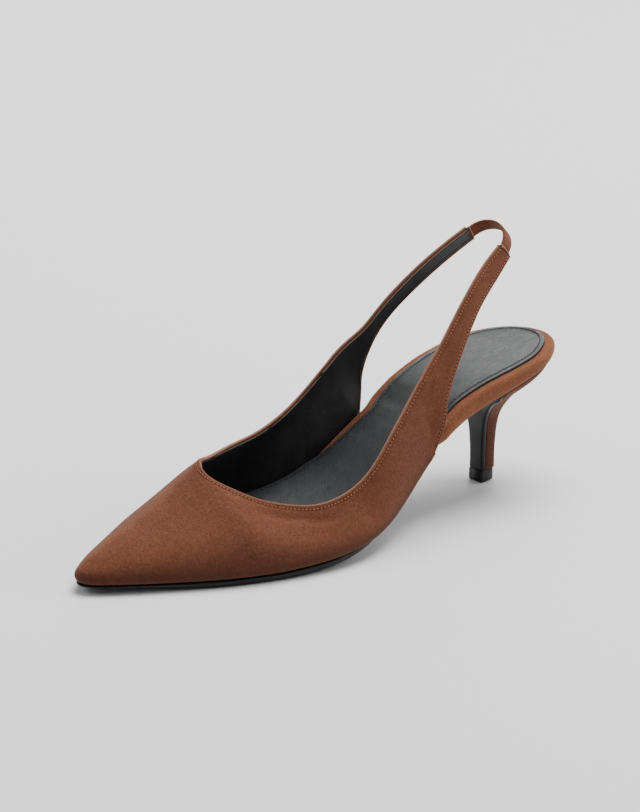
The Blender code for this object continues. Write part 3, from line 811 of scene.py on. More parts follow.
class Sheet:
    """The upper's outer face as one sheet: points, normals and distance from the folded edge."""

    def __init__(self):
        close = [THROAT - d / RIDGE_STATION_LENGTH for d in EDGE_ROWS[1:]]
        even = np.arange(STRAP_END * RIBS_PER_STATION + 1) / RIBS_PER_STATION
        self.stations = np.array(sorted({*even.round(6), *np.round(close, 6)}))
        self.points, self.faces, self.index = [], [], {}
        self.station, self.height, self.side = [], [], []
        for side in (1, -1):
            self.add_side(side)
        self.merge()
        self.normals = self.find_normals()
        self.fold = self.distances(self.folded_edge())

    def add_side(self, side):
        shares = np.linspace(0, 1, RIB_STEPS)
        curves = [rib(side, s) for s in self.stations]
        ribs = np.array([[on_rib(curve, t) for t in shares] for curve in curves])
        ribs = np.array([even_rows(fine, RIB_ROWS) for fine in evened(ribs, self.stations)])
        rows, columns = ribs.shape[:2]
        start = len(self.points)
        self.index[side] = np.arange(start, start + rows * columns).reshape(rows, columns)
        self.points += list(ribs.reshape(-1, 3))
        self.station += list(np.repeat(self.stations, columns))
        self.height += list(np.tile(np.linspace(0, 1, columns), rows))
        self.side += [side] * (rows * columns)
        self.faces += grid_faces(rows, columns, start, flip=side < 0)
        hemmed = [s for s in self.stations if s <= CORNER]
        start = len(self.points)
        turned = len(HEM_TURNS) + 1
        for i, s in enumerate(hemmed):
            self.points += [*hem_points(side, foot_angle(side, s)), ribs[i][0]]
            self.station += [s] * turned
            self.height += [0.0] * turned
            self.side += [side] * turned
        self.faces += grid_faces(len(hemmed), turned, start, flip=side < 0)

    def merge(self):
        """Joins the points that both sides, or a rib and its hem, share."""
        tree = search_tree(self.points)
        same = np.arange(len(self.points))
        for i, point in enumerate(self.points):
            same[i] = min(found[1] for found in tree.find_range(point, SHEET_MERGE))
        same = same[same]
        kept = []
        for face in self.faces:
            ring = [int(same[v]) for v in face]
            ring = [v for v, after in zip(ring, ring[1:] + ring[:1]) if v != after]
            if len(ring) > 2:
                kept.append(tuple(ring))
        self.faces = kept
        self.index = {side: same[rows] for side, rows in self.index.items()}
        self.points = np.array(self.points)
        self.station, self.height = np.array(self.station), np.array(self.height)
        self.side = np.array(self.side)

    def find_normals(self):
        normals = np.zeros_like(self.points)
        for face in self.faces:
            for i in range(1, len(face) - 1):
                a, b, c = self.points[face[0]], self.points[face[i]], self.points[face[i + 1]]
                normals[list(face)] += np.cross(b - a, c - a)
        length = np.linalg.norm(normals, axis=1)
        normals[length > 0] /= length[length > 0][:, None]
        probe = self.index[1][len(self.stations) // 2, RIB_ROWS // 2]
        if normals[probe][0] < 0:
            self.faces = [face[::-1] for face in self.faces]
            normals = -normals
        return self.evened_normals(normals)

    def evened_normals(self, normals):
        """The normals, each drawn towards its neighbours' mean, so that no fold turns one over."""
        ends = np.array([(a, b) for face in self.faces for a, b in zip(face, face[1:] + face[:1])])
        for _ in range(NORMAL_ROUNDS):
            mean = np.zeros_like(normals)
            np.add.at(mean, ends[:, 0], normals[ends[:, 1]])
            np.add.at(mean, ends[:, 1], normals[ends[:, 0]])
            length = np.maximum(np.linalg.norm(mean, axis=1), 1e-12)[:, None]
            normals = normals + mean / length
            normals /= np.maximum(np.linalg.norm(normals, axis=1), 1e-12)[:, None]
        return normals

    def folded_edge(self):
        """Points all along the edges where the suede is folded over."""
        edge = []
        for side in (1, -1):
            rows = self.index[side]
            top = self.points[rows[self.stations >= THROAT, -1]]
            back = self.points[rows[self.stations >= CORNER, 0]]
            edge += [top, back]
        dense = []
        for line in edge:
            for a, b in zip(line, line[1:]):
                count = max(int(np.linalg.norm(b - a) / FOLD_STEP), 1)
                dense += [a + (b - a) * i / count for i in range(count)]
            dense.append(line[-1])
        return dense

    def distances(self, line):
        tree = search_tree(line)
        return np.array([tree.find(point)[2] for point in self.points])

    def path(self, side, inset, from_top):
        """A line on the sheet at a distance from the folded edge: (points, normals)."""
        points, normals = [], []
        least = CORNER + BACK_STITCH_START
        if from_top:
            least = THROAT - inset / RIDGE_STATION_LENGTH
        for i, station in enumerate(self.stations):
            if station < least:
                continue
            row = self.index[side][i][::-1] if from_top else self.index[side][i]
            gone = self.fold[row]
            for a, b, low, high in zip(row, row[1:], gone, gone[1:]):
                if low <= inset < high:
                    t = (inset - low) / (high - low)
                    points.append(self.points[a] * (1 - t) + self.points[b] * t)
                    normals.append(unit(self.normals[a] * (1 - t) + self.normals[b] * t))
                    break
        return points, normals


def round_over(distance, radius):
    """How deep a face lies under its flat level at a distance from a rounded edge."""
    left = np.clip(radius - distance, 0, radius)
    return radius - np.sqrt(radius ** 2 - left ** 2)


def trough(distance, width):
    return np.exp(-(distance / width) ** 2)


# The upper's pieces

def crease_depth(sheet):
    """How deep the suede sinks in its creases, and how far it swells beside them."""
    depth = np.zeros(len(sheet.points))
    for side, stops, width, deep in CREASES:
        line = []
        for (s0, h0), (s1, h1) in zip(stops, stops[1:]):
            for t in np.linspace(0, 1, CREASE_STEPS):
                line.append(on_rib(rib(side, s0 + (s1 - s0) * t), h0 + (h1 - h0) * t))
        tree = search_tree(line)
        last = len(line) - 1
        for v in np.nonzero(sheet.side == side)[0]:
            _, i, gone = tree.find(sheet.points[v])
            if gone > CREASE_REACH * width:
                continue
            fade = ease(min(i, last - i) / last, 0.0, CREASE_FADE)
            spread = CREASE_SWELL * (gone / width) ** 2
            depth[v] += deep * fade * (1 - spread) * math.exp(-spread)
    return depth


def painted_vamp_shade(station, height):
    """Painted shade on the suede: darkest low down along the sole, lightest along the ridge."""
    top = LOW_SHADE_TOPS[0 if station < SHADE_STATION else 1]
    low = 1 - ease(height, LOW_SHADE_FOOT, top)
    fade = 1 - ease(station, CORNER - 2, CORNER + 2)
    quarter = QUARTER_SHADE * ease(station, THROAT + 1, SHADE_STATION)
    return max(low * (LOW_BEHIND + (1 - LOW_BEHIND) * fade), quarter)


def add_attribute(obj, name, values):
    """A number for each point of a piece, which its material reads."""
    layer = obj.data.attributes.new(name, "FLOAT", "POINT")
    layer.data.foreach_set("value", np.asarray(values, np.float32))


def used_part(faces):
    """The points that the faces use, and the faces counted anew."""
    used = sorted({v for face in faces for v in face})
    order = {v: i for i, v in enumerate(used)}
    return used, [tuple(order[v] for v in face) for face in faces]


def make_upper_suede(sheet, suede, cut_leather):
    """The outer face, its folded edge and the cut ends of the straps."""
    gone = sheet.fold
    stitched = STITCH_DENT * trough(gone - STITCH_INSET, STITCH_DENT_WIDTH)
    puffed = PUFF * trough(gone - PUFF_INSETS * STITCH_INSET, PUFF_WIDTH)
    down = round_over(gone, EDGE_FOLD) + stitched - puffed + crease_depth(sheet)
    outer = sheet.points - sheet.normals * down[:, None]
    under = 2 * EDGE_FOLD - round_over(gone, EDGE_FOLD)
    fold = sheet.points - sheet.normals * under[:, None]
    count = len(outer)
    faces = list(sheet.faces)
    kinds = [0] * len(faces)
    for face in sheet.faces:
        if max(gone[v] for v in face) <= FOLD_INSIDE + FOLD_SLACK:
            faces.append(tuple(v + count for v in face[::-1]))
            kinds.append(0)
    lining_level = sheet.points - sheet.normals * UPPER_WALL
    points = np.concatenate((outer, fold, lining_level))
    for side in (1, -1):
        end = sheet.index[side][-1]
        for a, b in zip(end, end[1:]):
            faces.append((a, b, b + 2 * count, a + 2 * count)[::side])
            kinds.append(1)
    used, faces = used_part(faces)
    made = new_piece("upper_suede", points[used], faces, [suede, cut_leather], kinds)
    edge = np.exp(-np.concatenate((gone, gone, gone)) / EDGE_FADE)
    add_attribute(made, "edge", edge[used])
    # Painted shade: low down on the outer face, and even on the suede folded inside.
    painted_shade = np.array([painted_vamp_shade(*where) for where in zip(sheet.station, sheet.height)])
    inside = np.full(len(painted_shade), INSIDE_SHADE)
    add_attribute(made, "painted_shade", np.concatenate((painted_shade, inside, inside))[used])
    return merge_points(made, SHEET_MERGE)


def make_upper_lining(sheet, lining, cut_edge_and_highlight):
    """The black leather inside, cut a little short of the folded edge."""
    gone = sheet.fold
    level = UPPER_WALL - round_over(gone - LINING_EDGE, LINING_STAND)
    points = sheet.points - sheet.normals * level[:, None]
    least = LINING_EDGE - LINING_SLACK
    faces = [face[::-1] for face in sheet.faces if min(gone[v] for v in face) >= least]
    # Faces near the lining's end show its pale cut edge, partly a painted highlight.
    kinds = [int(max(gone[v] for v in face) <= LINING_EDGE + LINING_CUT_AND_HIGHLIGHT_WIDTH) for face in faces]
    used, faces = used_part(faces)
    return new_piece("upper_lining", points[used], faces, [lining, cut_edge_and_highlight], kinds)


def add_node(tree, kind, inputs, **values):
    """A node with its values set, and each input given a value or linked to an output."""
    made = tree.nodes.new(kind)
    for key, value in values.items():
        setattr(made, key, value)
    for key, value in inputs.items():
        if isinstance(value, bpy.types.NodeSocket):
            tree.links.new(value, made.inputs[key])
        else:
            made.inputs[key].default_value = value
    return made


def stitch_tree(thread, hole_shade):
    """A node tree that lays stitches along a line, with a dark spot at each stitch's end: the
    painted shade of its needle hole.
    """
    tree = bpy.data.node_groups.new("stitches", "GeometryNodeTree")
    face = tree.interface
    face.new_socket("Line", in_out="INPUT", socket_type="NodeSocketGeometry")
    face.new_socket("Stitches", in_out="OUTPUT", socket_type="NodeSocketGeometry")
    sizes = {}
    for name in ("Pitch", "Length", "Thickness", "Sink"):
        socket = face.new_socket(name, in_out="INPUT", socket_type="NodeSocketFloat")
        sizes[name] = socket.identifier

    def node(kind, inputs, **values):
        return add_node(tree, kind, inputs, **values)

    def times(first, second):
        return node("ShaderNodeMath", {0: first, 1: second}, operation="MULTIPLY").outputs[0]

    def vectors(first, inputs, operation):
        inputs = {0: first, **inputs}
        return node("ShaderNodeVectorMath", inputs, operation=operation).outputs["Vector"]

    given = node("NodeGroupInput", {})
    to_curve = node("GeometryNodeMeshToCurve", {"Mesh": given.outputs["Line"]})
    steps = {"Curve": to_curve.outputs["Curve"], "Length": given.outputs["Pitch"]}
    even = node("GeometryNodeResampleCurve", steps, mode="LENGTH")
    tangent = node("GeometryNodeInputTangent", {})
    outs = node("GeometryNodeInputNamedAttribute", {"Name": "outward"}, data_type="FLOAT_VECTOR")
    axes = {"Primary Axis": tangent.outputs["Tangent"], "Secondary Axis": outs.outputs["Attribute"]}
    turn = node("FunctionNodeAxesToRotation", axes, primary_axis="X", secondary_axis="Z")
    ball = node("GeometryNodeMeshUVSphere", {"Segments": 8, "Rings": 6, "Radius": 0.5})
    thick = given.outputs["Thickness"]
    # Finish, length, share of the pitch by which it lies ahead, and the factor on Sink.
    kinds = ((thread, given.outputs["Length"], 0.0, -1.0), (hole_shade, thick, 0.5, -2.2))
    painted = []
    for finish, length, ahead, deep in kinds:
        shape = node("ShaderNodeCombineXYZ", {0: length, 1: thick, 2: thick})
        form = {"Geometry": ball.outputs["Mesh"], "Scale": shape.outputs["Vector"]}
        sized = node("GeometryNodeTransform", form)
        reach = {"Scale": times(given.outputs["Pitch"], ahead)}
        sink = {"Scale": times(given.outputs["Sink"], deep)}
        along = vectors(tangent.outputs["Tangent"], reach, "SCALE")
        sunk = vectors(outs.outputs["Attribute"], sink, "SCALE")
        places = {"Geometry": even.outputs["Curve"], "Offset": vectors(along, {1: sunk}, "ADD")}
        move = node("GeometryNodeSetPosition", places)
        laid = node("GeometryNodeInstanceOnPoints", {
            "Points": move.outputs["Geometry"],
            "Instance": sized.outputs["Geometry"],
            "Rotation": turn.outputs["Rotation"],
        })
        real = node("GeometryNodeRealizeInstances", {"Geometry": laid.outputs["Instances"]})
        look = {"Geometry": real.outputs["Geometry"], "Material": finish}
        painted.append(node("GeometryNodeSetMaterial", look))
    join = node("GeometryNodeJoinGeometry", {})
    for one in painted:
        tree.links.new(one.outputs["Geometry"], join.inputs["Geometry"])
    node("NodeGroupOutput", {"Stitches": join.outputs["Geometry"]})
    return tree, sizes


def make_stitches(name, lines, tree_and_sizes, pitch, thickness, sink):
    """One piece of stitches along lines, each given as (points, outward ways)."""
    tree, sizes = tree_and_sizes
    points, ways, edges = [], [], []
    for line, outs in lines:
        start = len(points)
        points += [tuple(p) for p in line]
        ways += [tuple(w) for w in outs]
        edges += [(start + i, start + i + 1) for i in range(len(line) - 1)]
    data = bpy.data.meshes.new(name + "_line")
    data.from_pydata(points, edges, [])
    outward_ways = data.attributes.new("outward", "FLOAT_VECTOR", "POINT")
    outward_ways.data.foreach_set("vector", np.array(ways, np.float32).reshape(-1))
    line_object = bpy.data.objects.new(name + "_line", data)
    bpy.context.scene.collection.objects.link(line_object)
    sewing = line_object.modifiers.new("stitches", "NODES")
    sewing.node_group = tree
    length = pitch * STITCH_SHARE
    values = {"Pitch": pitch, "Length": length, "Thickness": thickness, "Sink": sink}
    for key, value in values.items():
        sewing[sizes[key]] = value
    graph = bpy.context.evaluated_depsgraph_get()
    sewn = bpy.data.meshes.new_from_object(line_object.evaluated_get(graph), depsgraph=graph)
    sewn.name = name
    sewn.shade_smooth()
    made = bpy.data.objects.new(name, sewn)
    bpy.context.scene.collection.objects.link(made)
    bpy.data.objects.remove(line_object)
    return made


def make_upper_seams(sheet, seams, dark_seams):
    """The stitches along the topline and the back edges, and the same inside, on the lining."""
    sizes = STITCH_PITCH, STITCH_THICK
    tops = [sheet.path(side, STITCH_INSET, True) for side in (1, -1)]
    backs = [sheet.path(side, STITCH_INSET, False) for side in (1, -1)]
    top = [[*outer[::-1], *inner] for outer, inner in zip(*tops)]
    within = [
        ([p - w * UPPER_WALL for p, w in zip(*line)], [-w for w in line[1]])
        for line in (top, *backs)
    ]
    return (
        make_stitches("topline_stitches", [top], seams, *sizes, STITCH_SINK),
        make_stitches("back_edge_stitches", backs, seams, *sizes, STITCH_SINK),
        make_stitches("lining_stitches", within, dark_seams, *sizes, DARK_STITCH_SINK),
    )


# The elastic strap

def strap_end(side):
    """The middle of a strap's cut end, its width direction and the direction in which it runs."""
    middles = []
    for step in (0.0, 0.5):
        points = []
        for curve, station in ((top_curve, side * (17 - step)), (back_curve[side], 7 - step)):
            along = curve["along"](station) * LENGTH
            height = sole_line(along) + curve["rise"](station) * STRAP_RISE
            points.append(place(curve["across"](station) * BALL_WIDTH, along, height))
        middles.append((points[0] + points[1]) / 2)
        if step == 0:
            wide = unit(points[0] - points[1])
    run = middles[0] - middles[1]
    run = unit(run - wide * run.dot(wide))
    inward = np.cross(run, wide)
    inward *= -np.sign(inward[0]) * side
    return middles[0] + inward * UPPER_WALL / 2, wide, run


def make_back_elastic(suede):
    """The elastic between the straps' ends, and the sections where it comes out of them."""
    (start, wide_a, run_a), (stop, wide_b, run_b) = strap_end(1), strap_end(-1)
    start, stop = start + run_a * LOOP_GAP, stop + run_b * LOOP_GAP
    sag = np.array((0, 0, LOOP_SAG))
    first, second = start + run_a * LOOP_PULL - sag, stop + run_b * LOOP_PULL - sag
    curve = np.array((start, first, second, stop))
    loops = []
    shares = np.linspace(0, 1, LOOP_STEPS)
    stops = [(-LOOP_HIDDEN, 0.0), *((0.0, t) for t in shares), (LOOP_HIDDEN, 1.0)]
    for extra, t in stops:
        s = 1 - t
        point = on_rib(curve, t)
        run = unit(s * s * (first - start) + 2 * s * t * (second - first) + t * t * (stop - second))
        point = point + run * extra
        wide = wide_a * s + wide_b * t
        wide = unit(wide - run * wide.dot(run))
        thick = np.cross(run, wide)
        loop = []
        for turn in np.linspace(0, 2 * math.pi, LOOP_SIDES, endpoint=False):
            a = squarish(math.cos(turn), LOOP_SQUARE[0])
            b = squarish(math.sin(turn), LOOP_SQUARE[1])
            loop.append(point + wide * LOOP_WIDTH / 2 * a + thick * LOOP_THICKNESS / 2 * b)
        loops.append(loop)
    return lofted("back_elastic", loops, [suede], caps=(True, True)), (loops[1], loops[-2])


def make_strap_end_threads(rings, thread):
    """A pale thread round the elastic at each strap's end."""
    points, faces = [], []
    for ring in rings:
        ring = np.array(ring)
        middle = ring.mean(axis=0)
        around = np.roll(ring, -1, axis=0) - np.roll(ring, 1, axis=0)
        normal = unit(np.cross(ring[0] - middle, ring[LOOP_SIDES // 4] - middle))
        start = len(points)
        for point, way in zip(ring, around):
            out = np.cross(unit(way), normal)
            out *= np.sign(out.dot(point - middle)) or 1.0
            for turn in np.linspace(0, 2 * math.pi, END_THREAD_SIDES, endpoint=False):
                bend = out * math.cos(turn) + normal * math.sin(turn)
                points.append(point + out * END_THREAD / 3 + bend * END_THREAD / 2)
        made = []
        for i in range(len(ring)):
            for j in range(END_THREAD_SIDES):
                a, b = i * END_THREAD_SIDES, (i + 1) % len(ring) * END_THREAD_SIDES
                k = (j + 1) % END_THREAD_SIDES
                made.append((start + a + j, start + a + k, start + b + k, start + b + j))
        faces += outward([p - middle for p in points], made)
    return closed_piece("strap_end_threads", points, faces, [thread])


# The bottom

def inward(point, distance):
    """A point in plan moved towards the middle line by less than all the way."""
    way = middle_goal(point) - point
    return point + way * (1 - math.exp(-distance / np.linalg.norm(way)))


def fine_edge(knots, steps):
    """An edge profile with more points, rounded through its knots."""
    knots = np.array(knots)
    run = run_along(knots)
    curves = [spline(run, knots[:, axis]) for axis in (0, 1)]
    return [tuple(curve(t) for curve in curves) for t in np.linspace(0, run[-1], steps)]


def plate_loop(angle, edge, rounding, inset, setback, low, high, across=2, dish=0.0):
    """One closed section of a flat piece, its top dished a little in the middle."""
    sides = []
    at = share_of(angle) * LENGTH
    for side in (1, -1):
        base = edge_inset(side, angle, inset(at))
        points = []
        for depth, up in edge:
            x, y = inward(base, setback(at) + depth * rounding)
            points.append(place(x, y, low(y) + (high(y) - low(y)) * up))
        sides.append(points)
    outer, inner = sides
    top = []
    for i in range(1, across):
        u = i / across
        sunk = dish * (1 - (2 * u - 1) ** 2) ** DISH_ROUND
        top.append(inner[0] * (1 - u) + outer[0] * u - np.array((0, 0, sunk)))
    bottom = (outer[-1] + inner[-1]) / 2
    return [*outer, bottom, *inner[::-1], *top]


def outline_angles():
    step = [fan((RAND_END - RAND_EASE * share) / LENGTH) for share in np.linspace(0, 1, 12)]
    return sorted([*np.linspace(0, math.pi, OUTLINE_STEPS + 1), *step])


def no_setback(along):
    return 0.0


def sock_setback(along):
    return np.interp(along / LENGTH, SOCK["along"], SOCK["setback"]) * SOCK_INSET


def make_insole_wrap(suede):
    edge = fine_edge(BOARD_EDGE, BOARD_EDGE_STEPS)
    sizes = edge, BOARD_EDGE_ROUND, board_inset, no_setback, board_bottom, board_top
    loops = [plate_loop(angle, *sizes) for angle in outline_angles()]
    return lofted("insole_wrap", loops, [suede])


def sock_low(along):
    return board_top(along) + GAP * SOCK_GLUE


def sock_high(along):
    return board_top(along) + GAP + SOCK_THICKNESS


def make_sock(leather):
    sizes = SOCK_EDGE, SOCK_THICKNESS, board_inset, sock_setback, sock_low, sock_high
    loops = []
    for angle in outline_angles():
        dish = SOCK_DISH * math.sqrt(math.sin(angle))
        loops.append(plate_loop(angle, *sizes, across=SOCK_ACROSS, dish=dish))
    return lofted("sock_leather", loops, [leather])


def sock_stitch_line():
    """The line of the sock's stitches, round its whole edge inside the shoe."""
    angles = np.linspace(0.0, fan(SOCK_STITCH_END / LENGTH), SOCK_STITCH_STEPS)
    points, ways = [], []
    for side, turns in ((1, angles[::-1]), (-1, angles[1:])):
        for angle in turns:
            at = share_of(angle) * LENGTH
            base = edge_inset(side, angle, board_inset(at))
            x, y = inward(base, sock_setback(at) + SOCK_STITCH_INSET)
            step = 0.001
            slope = (sock_high(y + step) - sock_high(y - step)) / (2 * step)
            points.append(place(x, y, sock_high(y)))
            ways.append(unit(np.array((0.0, slope, 1.0))))
    return points, ways


def heel_plan(count):
    """Two outlines of as many points: the stem's and the seat's, from the outer breast corner."""
    stem, seat = [], []
    front = fan(SEAT_FRONT / LENGTH)
    for i in range(count + 1):
        t = i / count
        side = 1 if t <= 0.5 else -1
        turn = math.pi * t
        depth = STEM_FRONT - WAIST_THICKNESS - GAP - STEM_BACK
        across = STEM_WIDTH / 2 * squarish(math.cos(turn), STEM_SIDES)
        stem.append(np.array((across, STEM_BACK + depth * (1 - math.sin(turn) ** STEM_ROUND))))
        seat.append(edge_inset(side, front * abs(1 - 2 * t), SEAT_INSET))
    return stem, seat


def heel_height(share, along):
    low = LIFT_HEIGHT + GAP
    return low + (sole_line(along) - low) * share


def heel_ring(share):
    """The heel's outline at a share of its height, from the outer breast corner."""
    flare = flare_share(share)
    return [low + (high - low) * flare for low, high in zip(*heel_plan(HEEL_SIDES))]


def make_heel_cover(suede):
    loops = []
    for share in np.linspace(0, 1, HEEL_ROWS):
        ring = np.array(heel_ring(share))
        middle = ring.mean(axis=0)
        loop = []
        for i, point in enumerate(ring):
            corner = math.exp(-min(i, HEEL_SIDES - i) / HEEL_CORNER_POINTS)
            x, y = point - unit(point - middle) * HEEL_CORNER_SOFT * corner
            loop.append(place(x, y, heel_height(share, y)))
        loops.append(loop)
    return lofted("heel_cover", loops, [suede], caps=(True, True))


def make_top_lift(rubber):
    stem, _ = heel_plan(LIFT_SIDES)
    stretch = (STEM_FRONT - STEM_BACK) / (STEM_FRONT - WAIST_THICKNESS - GAP - STEM_BACK)
    middle = np.array((0.0, (STEM_FRONT + STEM_BACK) / 2))
    loops = []
    for inset, height in LIFT_EDGE:
        loop = []
        for across, along in stem:
            point = np.array((across, STEM_BACK + (along - STEM_BACK) * stretch))
            x, y = point - unit(point - middle) * (LIFT_INSET + inset)
            loop.append(place(x, y, height))
        loops.append(loop)
    return lofted("top_lift_rubber", loops, [rubber], caps=(True, True))


def sole_bottom(along):
    share = along / LENGTH
    thickness = WAIST_THICKNESS + (SOLE_THICKNESS - WAIST_THICKNESS) * ease(share, *SOLE_THICKENS)
    thickness -= (SOLE_THICKNESS - TIP_THICKNESS) * ease(share, *SOLE_THINS)
    return max(sole_line(along) - thickness, 0.0)


def sole_inset(along):
    return tuck_share(along / LENGTH) * BALL_WIDTH


def tongue_loop(share):
    """A section of the sole's tongue on the heel's breast, at a share of the breast's height."""
    outer_corner, *_, inner_corner = heel_ring(share)
    along = outer_corner[1]
    lean = math.radians(TONGUE_TURN) * ease(share, TONGUE_BENDS, 1.0)
    normal = np.array((math.cos(lean), -math.sin(lean)))
    back = np.array((along, heel_height(share, along))) + normal * GLUED
    front = back + normal * WAIST_THICKNESS
    middle = (outer_corner[0] + inner_corner[0]) / 2
    half = (outer_corner[0] - inner_corner[0]) / 2
    rounding = SOLE_EDGE_ROUND / 2
    corners = [(half - inset * rounding, front + (back - front) * up) for inset, up in SOLE_EDGE]
    loop = [place(middle + reach, *point) for reach, point in corners]
    loop.append(place(middle, *front))
    loop += [place(middle - reach, *point) for reach, point in corners[::-1]]
    loop.append(place(middle, *back))
    return loop


def make_outsole(black):
    loops = [tongue_loop(share) for share in np.linspace(0, 1, TONGUE_ROWS)]
    start = fan((heel_ring(1.0)[0][1] + TONGUE_RUN) / LENGTH)
    sizes = SOLE_EDGE, SOLE_EDGE_ROUND, sole_inset, no_setback, sole_bottom, sole_line
    loops += [plate_loop(angle, *sizes) for angle in np.linspace(start, math.pi, SOLE_ROWS)]
    return lofted("outsole_leather", loops, [black], caps=(True, False))


def main_camera():
    """A camera that sees the shoe as the picture does."""
    azimuth, elevation, roll = math.radians(50.225), math.radians(19.119), math.radians(0.2254)
    distance = 1.48504
    target = Vector((0.04427, -0.04088, 0.07411))
    focal_pixels, picture_height, sensor = 3761.44, 812, 36.0
    back = Vector((
        math.sin(azimuth) * math.cos(elevation),
        -math.cos(azimuth) * math.cos(elevation),
        math.sin(elevation),
    ))
    right = Vector((math.cos(azimuth), math.sin(azimuth), 0))
    up = back.cross(right)
    level_right = right * math.cos(roll) + up * math.sin(roll)
    level_up = up * math.cos(roll) - right * math.sin(roll)
    data = bpy.data.cameras.new("camera")
    data.sensor_width = sensor
    data.sensor_fit = "AUTO"
    data.lens = sensor * focal_pixels / picture_height
    data.clip_start = 0.05
    data.clip_end = 60
    made = bpy.data.objects.new("camera", data)
    turned = Matrix((level_right, level_up, back)).transposed().to_4x4()
    made.matrix_world = Matrix.Translation(target + back * distance) @ turned
    bpy.context.scene.collection.objects.link(made)
    bpy.context.scene.camera = made


# Finishes

class Finish:
    """A material with a Principled shader, and short ways to add its nodes."""

    def __init__(self, name, colour, roughness, shader_values):
        self.material = bpy.data.materials.new(name)
        self.material.use_nodes = True
        self.tree = self.material.node_tree
        self.shader = self.tree.nodes["Principled BSDF"]
        values = {"Base Color": (*colour, 1), "Roughness": roughness, **shader_values}
        for key, value in values.items():
            self.shader.inputs[key].default_value = value
        self.material.diffuse_color = (*colour, 1)
        self.where = self.node("ShaderNodeTexCoord", {}).outputs["Object"]

    def node(self, kind, inputs, **values):
        return add_node(self.tree, kind, inputs, **values)

    def stretched(self, scale, turn=(0, 0, 0)):
        inputs = {"Scale": scale, "Rotation": turn, "Vector": self.where}
        return self.node("ShaderNodeMapping", inputs).outputs["Vector"]

    def noise(self, scale, detail, roughness, distortion=0.0, vector=None):
        return self.node("ShaderNodeTexNoise", {
            "Scale": scale,
            "Detail": detail,
            "Roughness": roughness,
            "Distortion": distortion,
            "Vector": vector or self.where,
        }).outputs["Fac"]

    def ranged(self, value, low, high, to_low=0.0, to_high=1.0):
        inputs = {"Value": value, "From Min": low, "From Max": high}
        inputs.update({"To Min": to_low, "To Max": to_high})
        made = self.node("ShaderNodeMapRange", inputs, interpolation_type="SMOOTHSTEP")
        return made.outputs["Result"]

    def mixed(self, share, first, second):
        """A colour between two, each a colour or an output."""
        inputs = {0: share}
        for index, value in ((6, first), (7, second)):
            inputs[index] = (*value, 1) if isinstance(value, tuple) else value
        return self.node("ShaderNodeMix", inputs, data_type="RGBA").outputs[2]

    def scaled(self, value, factor):
        return self.node("ShaderNodeMath", {0: value, 1: factor}, operation="MULTIPLY").outputs[0]

    def layered(self, tone, layers):
        """A tone under colours, each laid as (output, its start and end, share, colour)."""
        for output, start, end, share, colour in layers:
            tone = self.mixed(self.scaled(self.ranged(output, start, end), share), tone, colour)
        return tone

    def attribute(self, name):
        return self.node("ShaderNodeAttribute", {}, attribute_name=name).outputs["Fac"]

    def set(self, name, output):
        self.tree.links.new(output, self.shader.inputs[name])

    def bumped(self, layers):
        """Bumps laid over each other, each as (height output, depth in metres, strength)."""
        inputs = {}
        for height, depth, strength in layers:
            inputs.update({"Height": height, "Distance": depth, "Strength": strength})
            inputs["Normal"] = self.node("ShaderNodeBump", inputs).outputs["Normal"]
        self.set("Normal", inputs["Normal"])


def suede_finish(name, brown, dark, light, shaded_and_edged):
    """Brown suede: nap that lies in light and dark patches, fine fibres, no gloss. If asked, also
    painted shade and a paler folded edge, read from the piece's attributes.
    """
    suede = Finish(name, brown, 0.92, {
        "Specular IOR Level": 0.12,
        "Sheen Weight": 0.22,
        "Sheen Roughness": 0.40,
        "Sheen Tint": (1.0, 0.60, 0.42, 1),
    })
    patches = suede.noise(26, 2, 0.5, 0.2)
    brushed = suede.noise(85, 2, 0.55, 0.5, suede.stretched((1.0, 0.55, 1.2), (0.3, 0.2, 0.5)))
    mottled = suede.noise(480, 3, 0.6)
    grain = suede.noise(1150, 3, 0.7)
    fibres = suede.noise(2600, 2, 0.7)
    tone = suede.layered(brown, (
        (patches, 0.62, 0.36, 0.34, dark),
        (brushed, 0.50, 0.74, 0.20, light),
        (brushed, 0.46, 0.28, 0.16, dark),
        (mottled, 0.46, 0.74, 0.22, light),
        (grain, 0.52, 0.32, 0.50, dark),
        (grain, 0.50, 0.70, 0.40, light),
        (fibres, 0.56, 0.36, 0.60, dark),
    ))
    if shaded_and_edged:
        # Painted shade from its attribute, then the paler colour along the folded edge.
        for attribute, share, colour in (("painted_shade", 0.72, SUEDE_SHADE), ("edge", 0.50, EDGE_PALE)):
            tone = suede.mixed(suede.scaled(suede.attribute(attribute), share), tone, colour)
    suede.set("Base Color", tone)
    suede.bumped(((mottled, 0.0003, 0.30), (grain, 0.0004, 0.55), (fibres, 0.00028, 0.70)))
    return suede.material


def black_leather(name, colour, roughness, grain_scale, grain_depth, gloss):
    """Black leather with fine pores, in clouds a little worn, and dull where it is scuffed."""
    leather = Finish(name, colour, roughness, {"Specular IOR Level": gloss})
    pattern = {"Scale": grain_scale, "Vector": leather.where}
    cells = leather.node("ShaderNodeTexVoronoi", pattern, feature="DISTANCE_TO_EDGE")
    pores = leather.ranged(cells.outputs["Distance"], 0.0, 0.10)
    cloudy = leather.noise(90, 3, 0.55, 0.3)
    fine = leather.noise(1500, 2, 0.6)
    scuffs = leather.noise(240, 4, 0.7, 2.0, leather.stretched((1.0, 0.3, 1.0)))
    worn = leather.layered(colour, ((cloudy, 0.35, 0.7, 0.35, LEATHER_WORN),))
    leather.set("Base Color", worn)
    leather.set("Roughness", leather.ranged(scuffs, 0.25, 0.75, roughness - 0.09, roughness + 0.12))
    leather.bumped(((cloudy, 0.0012, 0.12), (pores, grain_depth, 0.30), (fine, 0.00006, 0.35)))
    return leather.material


